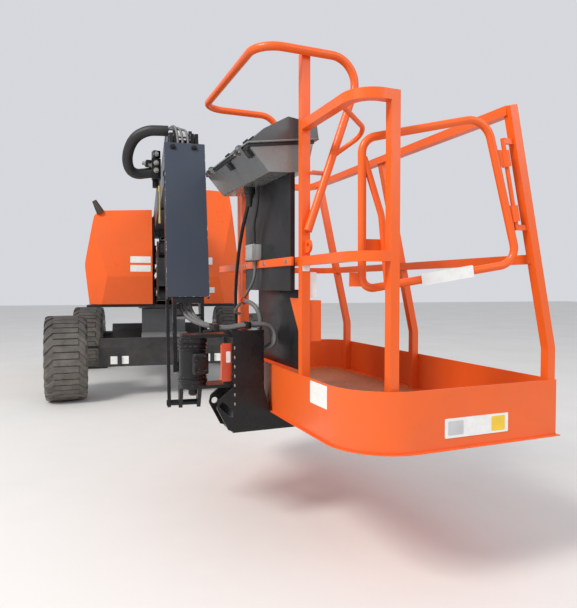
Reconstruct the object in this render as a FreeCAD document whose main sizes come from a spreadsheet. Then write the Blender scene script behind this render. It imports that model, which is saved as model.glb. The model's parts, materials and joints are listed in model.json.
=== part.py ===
import FreeCAD, Part
import math
import os
import re
import Sketcher
from FreeCAD import Placement, Rotation, Vector

# Articulating boom lift, millimetres and degrees, +Z up. The machine's front faces -Y and its left
# side is +X. The origin is the middle of the whole machine's box, on the ground.
SIZES = (
    # Wheels and steering
    ("wheelbase", 2360),
    ("wheel_track", 1946),
    ("tyre_radius", 419),
    ("tyre_width", 394),
    ("rim_radius", 209),
    ("rim_width", 388),
    ("rim_wall", 10),
    ("hub_radius", 62),
    ("hub_length", 108),
    ("spindle_radius", 34),
    ("drum_radius", 100),
    ("drum_length", 66),
    ("kingpin_inset", 133),
    ("kingpin_radius", 20),
    ("boss_radius", 50),
    ("neck_radius", 74),
    ("fork_reach", 56),
    ("fork_thickness", 25),
    ("fork_gap", 178),
    ("steer_rest", 7),
    ("steer_arm", 94),
    ("tie_rod_radius", 12),
    # Chassis
    ("beam_inset", 313),
    ("beam_depth", 230),
    ("beam_bottom", 330),
    ("beam_shoulder", 520),
    ("beam_top", 600),
    ("beam_crown", 70),
    ("lug_spacing", 920),
    ("lug_reach", 36),
    ("lug_thickness", 16),
    ("lug_hole_radius", 14),
    ("spine_width", 500),
    ("spine_bottom", 345),
    ("plate_wall", 12),
    ("pedestal_length", 660),
    ("pedestal_top", 860),
    ("ring_radius", 290),
    ("ring_bore", 200),
    # Turntable
    ("deck_bottom", 900),
    ("deck_thickness", 25),
    ("deck_width", 1640),
    ("deck_length", 1360),
    ("cheek_gap", 160),
    ("cheek_thickness", 15),
    ("bulkhead_inset", 108),
    ("bulkhead_top", 1910),
    ("swing_radius", 1165),
    ("ballast_width", 1740),
    ("ballast_front", 640),
    ("ballast_top", 1340),
    ("tail_width", 600),
    ("tail_length", 380),
    ("engine_length", 760),
    ("engine_width", 420),
    ("engine_height", 520),
    ("hood_thickness", 20),
    ("hood_inner", 130),
    ("hood_outer", 845),
    ("hood_front", 800),
    ("hood_rear", 600),
    ("hood_bottom", 932),
    ("hood_top", 1975),
    ("hood_rise", 260),
    ("hood_round", 70),
    ("pipe_foot_radius", 57),
    ("pipe_tip_radius", 24),
    ("pipe_wall", 5),
    ("hinge_x", 150),
    ("hinge_z", 1935),
    ("hinge_radius", 8),
    # Risers
    ("riser_length", 2140),
    ("riser_upper_length", 2200),
    ("riser_width", 150),
    ("riser_height", 140),
    ("riser_wall", 8),
    ("riser_pin", 25),
    ("riser_foot_y", 760),
    ("riser_foot_z", 1060),
    ("link_offset_y", 130),
    ("link_offset_z", 150),
    ("link_height", 56),
    ("link_thickness", 18),
    ("link_pin", 18),
    ("mid_rise", 430),
    ("mid_reach", 120),
    # Main boom
    ("boom_step_y", 90),
    ("boom_step_z", 410),
    ("boom_width", 200),
    ("boom_height", 280),
    ("boom_wall", 6),
    ("boom_tail", 190),
    ("boom_front", 2300),
    ("fly_width", 170),
    ("fly_height", 240),
    ("fly_tail", 600),
    ("nose_reach", 3960),
    ("nose_length", 215),
    ("nose_gap", 114),
    ("nose_plate", 23),
    ("nose_pin", 25),
    # Jib
    ("crank_reach", 90),
    ("crank_gap", 68),
    ("crank_plate", 18),
    ("jib_length", 1200),
    ("jib_lean", 15),
    ("jib_pin", 22),
    ("jib_gap", 114),
    ("jib_plate", 18),
    ("jib_depth", 130),
    ("level_offset", 175),
    ("jib_ram_arm", 110),
    ("level_angle", 18),
    ("level_pin", 14),
    ("level_thickness", 16),
    ("level_depth", 44),
    ("level_inset", 88),
    ("cover_width", 206),
    ("cover_top", 50),
    ("cover_bottom", 870),
    ("cover_thickness", 5),
    ("cover_flange", 46),
    # Platform head
    ("rotator_reach", 4570),
    ("rotator_radius", 60),
    ("rotator_bottom", 690),
    ("rotator_top", 900),
    ("rotator_shaft", 30),
    ("yoke_thickness", 15),
    ("yoke_width", 112),
    ("column_near", 165),
    ("column_far", 313),
    ("ear_plate", 12),
    ("slot_radius", 15),
    ("column_depth", 150),
    ("column_bottom", 470),
    ("column_top", 930),
    ("foot_length", 760),
    # Platform
    ("platform_turn", 8.1),
    ("platform_offset", 356),
    ("platform_width", 872),
    ("platform_length", 1829),
    ("platform_gate_end", 874),
    ("platform_bottom", 550),
    ("floor_height", 30),
    ("floor_thickness", 5),
    ("tread_inset", 70),
    ("tread_height", 3),
    ("toe_height", 218),
    ("toe_wall", 4),
    ("toe_lip", 12),
    ("lip_thickness", 4),
    ("corner_gate", 230),
    ("corner_far", 150),
    ("rail_width", 36),
    ("rail_top", 1246),
    ("rail_mid", 682),
    ("rail_inset", 206),
    ("rail_bend", 90),
    ("post_knee", 339),
    ("knee_bend", 90),
    ("hoop_radius", 17),
    ("hoop_top", 1532),
    ("hoop_foot", 801),
    ("hoop_knee", 277),
    ("hoop_bend", 105),
    ("hoop_outboard", 190),
    ("post_one", 494),
    ("post_far", 1285),
    ("post_two", 156),
    ("post_two_inset", 26),
    ("eye_reach", 26),
    ("eye_height", 740),
    ("eye_radius", 26),
    ("eye_hole", 14),
    ("eye_thickness", 10),
    ("gate_radius", 15),
    ("gate_pin", 8),
    ("gate_ajar", 12),
    ("hinge_step", 62),
    ("rod_low", 462),
    ("rod_high", 805),
    ("knuckle_low", 850),
    ("knuckle_high", 1050),
    # Console
    ("console_near", 550),
    ("console_length", 680),
    ("lid_margin", 8),
    ("lid_axis_v", 213),
    ("lid_axis_z", 1147),
    ("lid_knuckle", 8),
    ("lid_pin", 4),
    ("handle_radius", 10),
    ("shelf_height", 1036),
    # Running gaps
    ("running_gap", 0.3),
)

doc = FreeCAD.newDocument("BoomLift")
sheet = doc.addObject("Spreadsheet::Sheet", "Sizes")
for row, (alias, number) in enumerate(SIZES, start=1):
    sheet.set(f"A{row}", alias)
    sheet.set(f"B{row}", str(number))
    sheet.setAlias(f"B{row}", alias)
doc.recompute()
ALIASES = {alias for alias, number in SIZES}
NODES = []
X_AXIS = Vector(1, 0, 0)
Y_AXIS = Vector(0, 1, 0)
Z_AXIS = Vector(0, 0, 1)


def bound(text):
    """An expression in which each size name reads the sheet."""
    return re.sub(r"[a-z][a-z0-9_]*", lambda m: f"Sizes.{m[0]}" if m[0] in ALIASES else m[0], text)


def node(feature):
    """Keeps a finished sub-part under its own name."""
    NODES.append(feature)
    return feature


def place(feature, frame, where=Vector(), turn=Rotation()):
    feature.Placement = frame * Placement(where, turn)
    return feature


def box(name, frame, corner, length, width, height):
    """A block from its lowest corner, its three sizes bound to the sheet."""
    block = doc.addObject("Part::Box", name)
    block.setExpression("Length", bound(length))
    block.setExpression("Width", bound(width))
    block.setExpression("Height", bound(height))
    return place(block, frame, corner)


def round_bar(name, frame, start, axis, radius, length):
    """A round bar from the middle of its first end, its radius and length bound."""
    bar = doc.addObject("Part::Cylinder", name)
    bar.setExpression("Radius", bound(radius))
    bar.setExpression("Height", bound(length))
    return place(bar, frame, start, Rotation(Z_AXIS, axis))


def cross_pin(name, frame, y, z, radius, half_length):
    """A pin across the machine, centred on the plane of the booms."""
    half = numeric(half_length)
    return round_bar(name, frame, Vector(-half, y, z), X_AXIS, radius, f"2 * ({half_length})")


def numeric(text):
    """The present value of a bound expression, read through a throwaway cylinder's height."""
    if text in NUMBERS:
        return NUMBERS[text]
    gauge.setExpression("Height", bound(text))
    gauge.recompute()
    NUMBERS[text] = gauge.Height.Value
    return NUMBERS[text]


def origin_plane(body, role):
    for feature in body.Origin.OriginFeatures:
        if feature.Role == role:
            return feature


def profile(name, frame, outline, depth, plane="YZ_Plane", holes=(), rounds=None, where=Vector()):
    """A plate or beam: an outline of bound points, with round holes, padded both ways by half its depth."""
    body = doc.addObject("PartDesign::Body", name)
    sketch = body.newObject("Sketcher::SketchObject", f"{name}Sketch")
    sketch.AttachmentSupport = [(origin_plane(body, plane), "")]
    sketch.MapMode = "FlatFace"
    count = len(outline)
    guess = [Vector(math.cos(2 * math.pi * i / count), math.sin(2 * math.pi * i / count), 0) for i in range(count)]
    for i in range(count):
        sketch.addGeometry(Part.LineSegment(guess[i] * 100, guess[(i + 1) % count] * 100))
    for i in range(count):
        sketch.addConstraint(Sketcher.Constraint("Coincident", i, 2, (i + 1) % count, 1))
    for i, (across, up) in enumerate(outline):
        pin_point(sketch, i, 1, guess[i] * 100, across, up)
    for across, up, radius in holes:
        circle = sketch.addGeometry(Part.Circle(Vector(0, 0, 0), Z_AXIS, 10))
        pin_point(sketch, circle, 3, Vector(), across, up)
        size = sketch.addConstraint(Sketcher.Constraint("Radius", circle, 10))
        sketch.setExpression(f"Constraints[{size}]", bound(radius))
    pad = body.newObject("PartDesign::Pad", f"{name}Pad")
    pad.Profile = sketch
    pad.Midplane = True
    pad.setExpression("Length", bound(depth))
    body.Placement = frame * Placement(where, Rotation())
    if rounds:
        body.recompute(True)
        for step, (radius, corners) in enumerate(rounds.items()):
            round_off(body, f"{name}Round{step}", sketch, corners, radius)
    return body


def pin_point(sketch, geometry, end, start, across, up):
    """Ties one sketch point to two bound distances from the sketch's origin."""
    for kind, text, number in (("DistanceX", across, start.x), ("DistanceY", up, start.y)):
        index = sketch.addConstraint(Sketcher.Constraint(kind, -1, 1, geometry, end, number))
        sketch.setExpression(f"Constraints[{index}]", bound(text))


def round_off(body, name, sketch, corners, radius):
    """Rounds the pad's edges that stand on the outline's numbered corners."""
    tip = body.Tip
    spots = [sketch.Geometry[i].StartPoint for i in corners]
    to_sketch = sketch.Placement.inverse()
    edges = []
    for number, edge in enumerate(tip.Shape.Edges, start=1):
        ends = [to_sketch.multVec(vertex.Point) for vertex in edge.Vertexes]
        if len(ends) != 2 or abs(ends[0].z - ends[1].z) < 1:
            continue
        if any(math.hypot(ends[0].x - s.x, ends[0].y - s.y) < 0.01 for s in spots):
            edges.append(f"Edge{number}")
    fillet = body.newObject("PartDesign::Fillet", name)
    fillet.Base = (tip, edges)
    fillet.setExpression("Radius", bound(radius))
    body.recompute(True)


def fuse(name, pieces):
    union = doc.addObject("Part::MultiFuse", name)
    union.Shapes = pieces
    union.Refine = True
    return union


def cut(name, base, tools):
    """Takes the tools away from the base."""
    if len(tools) > 1:
        tool = doc.addObject("Part::MultiFuse", f"{name}Tools")
        tool.Shapes = tools
    else:
        tool = tools[0]
    result = doc.addObject("Part::Cut", name)
    result.Base = base
    result.Tool = tool
    result.Refine = True
    return result


def made(name, frame, shape):
    """A sub-part whose shape is made from the sheet's numbers in its own frame."""
    feature = doc.addObject("Part::Feature", name)
    feature.Shape = shape
    feature.Placement = frame
    return feature


def square_face(centre, along, side, up):
    """A square across a direction, two of its sides along the given up direction."""
    half = side / 2
    across = along.cross(up).normalize()
    high = across.cross(along).normalize()
    corners = [centre + across * (i * half) + high * (j * half) for i, j in ((-1, -1), (1, -1), (1, 1), (-1, 1))]
    return Part.Face(Part.makePolygon(corners + corners[:1]))


def round_face(centre, along, radius):
    return Part.Face(Part.Wire(Part.Circle(centre, along, radius).toShape()))


def tube_run(points, bends, face):
    """A bar swept along straight runs joined by tangent arcs; the face stands at the first point."""
    solids = []
    if not isinstance(bends, (list, tuple)):
        bends = [bends] * (len(points) - 2)
    spot = points[0]
    count = len(points)
    for i in range(1, count):
        heading = (points[i] - points[i - 1]).normalize()
        last = i == count - 1
        follow = heading if last else (points[i + 1] - points[i]).normalize()
        turn = heading.getAngle(follow)
        bend = 0 if last else bends[i - 1]
        setback = 0 if turn < 1e-6 else bend * math.tan(turn / 2)
        length = (points[i] - spot).Length - setback
        if length > 1e-6:
            solids.append(face.extrude(heading * length))
            face = face.translated(heading * length)
        spot = spot + heading * length
        if turn < 1e-6:
            continue
        inward = (follow - heading * math.cos(turn)).normalize()
        axis = heading.cross(follow).normalize()
        centre = spot + inward * bend
        solids.append(face.revolve(centre, axis, math.degrees(turn)))
        face = face.rotated(centre, axis, math.degrees(turn))
        spot = centre + (Rotation(axis, math.degrees(turn)).multVec(spot - centre))
    return solids


def merged(solids):
    """One clean solid from solids that meet or overlap."""
    whole = solids[0].multiFuse(solids[1:]) if len(solids) > 1 else solids[0]
    return whole.removeSplitter()


gauge = doc.addObject("Part::Cylinder", "Gauge")
NUMBERS = {}
s = sheet
gap = s.running_gap

# Where the joints stand, in the machine's own frame: the slew axis at x = y = 0
axle_y = s.wheelbase / 2
kingpin_x = s.wheel_track / 2 - s.kingpin_inset
beam_end = s.wheel_track / 2 - s.beam_inset
foot = Vector(0, s.riser_foot_y, s.riser_foot_z)
foot_link = foot + Vector(0, s.link_offset_y, s.link_offset_z)
mid = foot - Vector(0, s.riser_length, 0)
mid_link = foot_link - Vector(0, s.riser_length, 0)
upper = mid + Vector(0, -s.mid_reach, s.mid_rise)
upper_link = upper + Vector(0, s.link_offset_y, -s.link_offset_z)
crown = upper + Vector(0, s.riser_upper_length, 0)
crown_link = upper_link + Vector(0, s.riser_upper_length, 0)
boom = crown + Vector(0, s.boom_step_y, s.boom_step_z)
nose = Vector(0, -s.nose_reach, boom.z)
CROWN_Y = "riser_foot_y - riser_length - mid_reach + riser_upper_length"
jib_top = nose - Vector(0, s.crank_reach, 0)
lean = math.radians(s.jib_lean)
jib_foot = jib_top - Vector(0, math.sin(lean), math.cos(lean)) * s.jib_length
level = math.radians(s.level_angle - s.jib_lean)
level_step = Vector(0, math.sin(level), -math.cos(level)) * s.level_offset
level_top = jib_top + level_step
level_foot = jib_foot + level_step
MACHINE = Placement()
PLATFORM = Placement(Vector(0, -s.rotator_reach, 0), Rotation(Z_AXIS, s.platform_turn))
JIB = Placement(jib_top, Rotation(X_AXIS, -s.jib_lean))


def chassis():
    """Spine box between the axles, with the pedestal that carries the slew ring."""
    reach = "wheelbase - beam_depth"
    outer = box("SpineOuter", MACHINE, Vector(-s.spine_width / 2, -(s.wheelbase - s.beam_depth) / 2, s.spine_bottom),
                "spine_width", reach, "beam_top - spine_bottom")
    inner = box("SpineInner", MACHINE,
                Vector(s.plate_wall - s.spine_width / 2, -(s.wheelbase - s.beam_depth) / 2, s.spine_bottom + s.plate_wall),
                "spine_width - 2 * plate_wall", reach, "beam_top - spine_bottom - 2 * plate_wall")
    stand = box("PedestalOuter", MACHINE, Vector(-s.spine_width / 2, -s.pedestal_length / 2, s.beam_top),
                "spine_width", "pedestal_length", "pedestal_top - beam_top")
    hollow = box("PedestalInner", MACHINE,
                 Vector(s.plate_wall - s.spine_width / 2, s.plate_wall - s.pedestal_length / 2, s.beam_top),
                 "spine_width - 2 * plate_wall", "pedestal_length - 2 * plate_wall",
                 "pedestal_top - beam_top - plate_wall")
    bore = round_bar("PedestalBore", MACHINE, Vector(0, 0, s.beam_top), Z_AXIS, "ring_bore", "pedestal_top - beam_top")
    spine = cut("SpineTube", outer, [inner])
    pedestal = cut("Pedestal", stand, [hollow, bore])
    node(fuse("chassis_frame", [spine, pedestal]))
    ring = round_bar("RingOuter", MACHINE, Vector(0, 0, s.pedestal_top), Z_AXIS, "ring_radius",
                     "deck_bottom - pedestal_top - running_gap")
    hole = round_bar("RingBore", MACHINE, Vector(0, 0, s.pedestal_top), Z_AXIS, "ring_bore", "deck_bottom - pedestal_top")
    node(cut("slew_ring", ring, [hole]))


def beam(name, end):
    """A fabricated axle beam with sloped shoulders; end is -1 for the front one and 1 for the rear one."""
    half = "beam_depth / 2"
    outline = [(f"-{half}", "beam_bottom"), (half, "beam_bottom"), (half, "beam_shoulder"), ("beam_crown / 2", "beam_top"),
               ("-beam_crown / 2", "beam_top"), (f"-{half}", "beam_shoulder")]
    pieces = [profile(f"{name}Beam", MACHINE, outline, "wheel_track - 2 * beam_inset", where=Vector(0, end * axle_y, 0))]
    face = end * (axle_y + s.beam_depth / 2)
    for side in (-1, 1):
        low = face if end > 0 else face - s.lug_reach
        corner = Vector(side * s.lug_spacing / 2 - s.lug_thickness / 2, low, s.beam_bottom + 20)
        lug = box(f"{name}Lug{side + 1}", MACHINE, corner, "lug_thickness", "lug_reach", "100")
        hole = cross_pin(f"{name}LugHole{side + 1}", MACHINE, face + end * s.lug_reach / 2, s.beam_bottom + 70,
                         "lug_hole_radius", "lug_thickness")
        hole.Placement = MACHINE * Placement(Vector(side * s.lug_spacing / 2 - s.lug_thickness, face + end * s.lug_reach / 2,
                                                    s.beam_bottom + 70), Rotation(Z_AXIS, X_AXIS))
        pieces.append(cut(f"{name}LugCut{side + 1}", lug, [hole]))
    return pieces


def axles():
    """Front beam with the kingpin forks and rear beam with its fixed hub drives and spindles."""
    front = beam("front_axle", -1)
    for side in (-1, 1):
        for level_name, low in (("Low", s.tyre_radius - s.fork_gap / 2 - s.fork_thickness), ("High", s.tyre_radius + s.fork_gap / 2)):
            start = beam_end - 80
            corner = Vector(start if side > 0 else -kingpin_x, -axle_y - s.fork_reach, low)
            front.append(box(f"Fork{level_name}{side + 1}", MACHINE, corner,
                             "beam_inset - kingpin_inset + 80", "2 * fork_reach", "fork_thickness"))
            front.append(round_bar(f"ForkEnd{level_name}{side + 1}", MACHINE, Vector(side * kingpin_x, -axle_y, low), Z_AXIS,
                                   "fork_reach", "fork_thickness"))
        low = s.tyre_radius - s.fork_gap / 2 - s.fork_thickness
        front.append(round_bar(f"Kingpin{side + 1}", MACHINE, Vector(side * kingpin_x, -axle_y, low), Z_AXIS,
                               "kingpin_radius", "fork_gap + 2 * fork_thickness"))
    node(fuse("front_axle", front))
    rear = beam("rear_axle", 1)
    for side in (-1, 1):
        heading = X_AXIS * side
        start = Vector(side * beam_end, axle_y, s.tyre_radius)
        drum_start = Vector(side * (s.wheel_track / 2 - s.hub_length / 2 + 50 - s.drum_length), axle_y, s.tyre_radius)
        drum_end = drum_start + heading * s.drum_length
        rear.append(round_bar(f"AxleTube{side + 1}", MACHINE, start, heading, "drum_radius - 22",
                              "beam_inset - hub_length / 2 + 50 - drum_length"))
        rear.append(round_bar(f"RearDrum{side + 1}", MACHINE, drum_start, heading, "drum_radius", "drum_length"))
        rear.append(round_bar(f"RearSpindle{side + 1}", MACHINE, drum_end, heading, "spindle_radius", "hub_length - 14"))
    node(fuse("rear_axle", rear))


def knuckle_frame(side):
    return MACHINE * Placement(Vector(side * kingpin_x, -axle_y, s.tyre_radius), Rotation(Z_AXIS, s.steer_rest))


def knuckle(side, name):
    """Steering knuckle: boss round the kingpin, hub drive drum, spindle and steering arm."""
    frame = knuckle_frame(side)
    heading = X_AXIS * side
    half = s.fork_gap / 2 - gap
    drum_end = s.kingpin_inset - s.hub_length / 2 + 50
    pieces = [
        round_bar(f"{name}Boss", frame, Vector(0, 0, -half), Z_AXIS, "boss_radius", "fork_gap - 2 * running_gap"),
        round_bar(f"{name}Neck", frame, Vector(), heading, "neck_radius", f"{drum_end - s.drum_length} + 1"),
        round_bar(f"{name}Drum", frame, heading * (drum_end - s.drum_length), heading, "drum_radius", "drum_length"),
        round_bar(f"{name}Spindle", frame, heading * drum_end, heading, "spindle_radius", "hub_length - 14"),
    ]
    arm_x = -side * s.steer_arm * 0.5
    arm_y = s.steer_arm * math.sqrt(0.75)
    arm_z = 5 - s.fork_gap / 2
    arm = box(f"{name}Arm", frame, Vector(), "steer_arm", "40", "20")
    angle = math.degrees(math.atan2(arm_y, arm_x))
    arm.Placement = frame * Placement(Vector(0, 0, arm_z), Rotation(Z_AXIS, angle)) * Placement(Vector(0, -20, 0), Rotation())
    pieces.append(arm)
    pieces.append(round_bar(f"{name}ArmEnd", frame, Vector(arm_x, arm_y, arm_z), Z_AXIS, "20", "20"))
    bore = round_bar(f"{name}Bore", frame, Vector(0, 0, -s.fork_gap), Z_AXIS, "kingpin_radius + running_gap", "2 * fork_gap")
    node(cut(name, fuse(f"{name}Whole", pieces), [bore]))


def tie_rod():
    """Track rod under the two steering arms, behind the front beam."""
    ends = []
    for side in (-1, 1):
        local = Vector(-side * s.steer_arm * 0.5, s.steer_arm * math.sqrt(0.75), 0)
        ends.append(Vector(side * kingpin_x, -axle_y, 0) + Rotation(Z_AXIS, s.steer_rest).multVec(local))
    top = s.tyre_radius - s.fork_gap / 2 + 5 - gap
    eye = 2 * s.tie_rod_radius + 10
    y = (ends[0].y + ends[1].y) / 2
    pieces = [Part.makeCylinder(1.2 * s.tie_rod_radius, eye, Vector(end.x, y, top - eye), Z_AXIS) for end in ends]
    z = top - eye + s.tie_rod_radius + 1
    pieces.append(Part.makeCylinder(s.tie_rod_radius, ends[1].x - ends[0].x, Vector(ends[0].x, y, z), X_AXIS))
    node(made("tie_rod", MACHINE, merged(pieces)))


def wheel_shapes():
    """Rim and tyre turned about X, with the outer side towards +X."""
    half = s.rim_width / 2
    bead = s.rim_radius
    inner = bead - s.rim_wall
    hub_start = 50 - s.hub_length / 2 + gap
    hub_end = hub_start + s.hub_length
    bore = s.spindle_radius + gap
    disc = 38
    rim_outline = [(hub_start, bore), (hub_end - 14, bore), (hub_end - 14, 0), (hub_end, 0), (hub_end, s.hub_radius),
                   (disc + 14, s.hub_radius + 4), (disc + 30, inner - 22), (half - 40, inner), (half, inner),
                   (half, bead + 15), (half - 12, bead + 15), (half - 12, bead), (12 - half, bead), (12 - half, bead + 15),
                   (-half, bead + 15), (-half, inner), (half - 60, inner), (disc + 16, inner - 16), (disc, s.hub_radius + 4),
                   (hub_start, s.hub_radius)]
    rim = turned(rim_outline)
    wide = s.tyre_width / 2
    tall = s.tyre_radius
    bead_half = half - 12 - gap
    tyre_outline = [(-bead_half, bead + gap), (bead_half, bead + gap), (bead_half, bead + 20), (wide, bead + 75),
                    (wide, tall - 66), (wide - 12, tall - 14), (wide - 34, tall - 3), (0, tall), (34 - wide, tall - 3),
                    (12 - wide, tall - 14), (-wide, tall - 66), (-wide, bead + 75), (-bead_half, bead + 20)]
    return rim, turned(tyre_outline)


def turned(outline):
    """A solid turned about X from points (x, radius)."""
    corners = [Vector(x, 0, radius) for x, radius in outline]
    return Part.Face(Part.makePolygon(corners + corners[:1])).revolve(Vector(), X_AXIS, 360)


def wheels():
    """Four equal wheels; the front pair turned with their knuckles."""
    rim, tyre = wheel_shapes()
    for side, side_name in ((1, "left"), (-1, "right")):
        facing = Rotation(Z_AXIS, 0 if side > 0 else 180)
        front = knuckle_frame(side) * Placement(Vector(side * s.kingpin_inset, 0, 0), facing)
        rear = MACHINE * Placement(Vector(side * s.wheel_track / 2, axle_y, s.tyre_radius), facing)
        for end_name, frame in (("front", front), ("rear", rear)):
            node(made(f"rim_{end_name}_{side_name}", frame, rim))
            node(made(f"tyre_{end_name}_{side_name}", frame, tyre))


def deck():
    """Turntable plate on the slew ring, with the tail that carries the counterweight."""
    plate = box("DeckPlate", MACHINE, Vector(-s.deck_width / 2, -s.deck_length / 2 - 60, s.deck_bottom),
                "deck_width", "deck_length", "deck_thickness")
    tail = box("DeckTail", MACHINE, Vector(-s.tail_width / 2, s.deck_length / 2 - 60, s.deck_bottom),
               "tail_width", "tail_length", "deck_thickness")
    node(fuse("turntable_deck", [plate, tail]))


def riser_bracket():
    """Two cheeks on the deck that hold the foot pins of the lower riser and its link."""
    low = "deck_bottom + deck_thickness"
    foot_y, foot_z = "riser_foot_y", "riser_foot_z"
    link_y, link_z = "riser_foot_y + link_offset_y", "riser_foot_z + link_offset_z"
    cheek = [("-deck_length / 2", low), (f"{link_y} + 55", low), (f"{link_y} + 55", link_z),
             (f"{link_y} + 35", f"{link_z} + 45"), (f"{link_y} - 45", f"{link_z} + 45"), (f"{foot_y} - 60", f"{foot_z} + 60"),
             ("-deck_length / 2 + 60", f"{low} + 90"), ("-deck_length / 2", f"{low} + 60")]
    pieces = []
    for side in (-1, 1):
        pieces.append(profile(f"Cheek{side + 1}", MACHINE, cheek, "cheek_thickness",
                              where=Vector(side * (s.cheek_gap + s.cheek_thickness) / 2, 0, 0)))
        pieces.append(link_stub(f"LinkStub{side + 1}", side, foot_link))
    pieces.append(cross_pin("FootPin", MACHINE, foot.y, foot.z, "riser_pin", "cheek_gap / 2 + cheek_thickness"))
    node(fuse("riser_bracket", pieces))


def link_stub(name, side, spot):
    """Short pin that carries one bar of a timing link and leaves the middle free."""
    start = spot + Vector(side * (s.riser_width / 2 - s.link_thickness - 5), 0, 0)
    return round_bar(name, MACHINE, start, X_AXIS * side, "link_pin",
                     "(cheek_gap - riser_width) / 2 + cheek_thickness + link_thickness + 5")


def bulkhead(side, name, rise):
    """Upright plate beside the booms, with the hinge tabs and pins of one hood."""
    low = "deck_bottom + deck_thickness"
    top = f"bulkhead_top + {rise}"
    outline = [("-hood_front + 110", low), ("hood_rear - 30", low), ("hood_rear - 30", f"{top} - 120"),
               ("hood_rear - 150", top), ("-hood_front + 190", top), ("-hood_front + 110", f"{top} - 120")]
    x = side * (s.bulkhead_inset + s.plate_wall / 2)
    pieces = [profile(f"{name}Plate", MACHINE, outline, "plate_wall", where=Vector(x, 0, 0))]
    tab = [("bulkhead_inset - hinge_x + 1", "-100"), ("bulkhead_inset - hinge_x + 1", "-54"), ("-14", "-8"), ("-8", "8"),
           ("8", "8"), ("12", "-20"), ("-20", "-100")]
    tab = [(f"{side} * ({across})", up) for across, up in tab]
    for place_name, y in hinge_places():
        pieces.append(profile(f"{name}Tab{place_name}", MACHINE, tab, "50", plane="XZ_Plane",
                              where=Vector(side * s.hinge_x, y, s.hinge_z + numeric(rise))))
        start = Vector(side * s.hinge_x, y - 65, s.hinge_z + numeric(rise))
        pieces.append(round_bar(f"{name}Pin{place_name}", MACHINE, start, Y_AXIS,
                                "hinge_radius", "130"))
    node(fuse(name, pieces))


def hinge_places():
    """Where the two hinges of a hood stand along the machine."""
    return ("Front", -s.hood_front + 260), ("Rear", s.hood_rear - 260)


def ballast():
    """Counterweight casting inside the swing circle, slotted for the upright."""
    disc = round_bar("BallastDisc", MACHINE, Vector(0, 0, s.deck_bottom + s.deck_thickness), Z_AXIS, "swing_radius",
                     "ballast_top - deck_bottom - deck_thickness")
    block = box("BallastBlock", MACHINE, Vector(-s.ballast_width / 2, s.ballast_front, s.deck_bottom + s.deck_thickness),
                "ballast_width", "swing_radius - ballast_front", "ballast_top - deck_bottom - deck_thickness")
    slot = box("BallastSlot", MACHINE, Vector(-125, s.ballast_front, s.deck_bottom),
               "250", "riser_foot_y + link_offset_y + 140 - ballast_front", "ballast_top - deck_bottom")
    sill = box("BallastSill", MACHINE, Vector(-125, s.ballast_front, s.ballast_top - 110), "250", "swing_radius", "110")
    common = doc.addObject("Part::MultiCommon", "BallastBody")
    common.Shapes = [disc, block]
    node(cut("counterweight", common, [slot, sill]))


def engine():
    """Plain masses under the hoods: engine on the right, tanks on the left."""
    bottom = s.deck_bottom + s.deck_thickness
    node(box("engine_block", MACHINE, Vector(-620, -420, bottom), "engine_width", "engine_length", "engine_height"))
    node(box("fluid_tanks", MACHINE, Vector(200, -420, bottom), "engine_width", "engine_length", "engine_height"))


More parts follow.
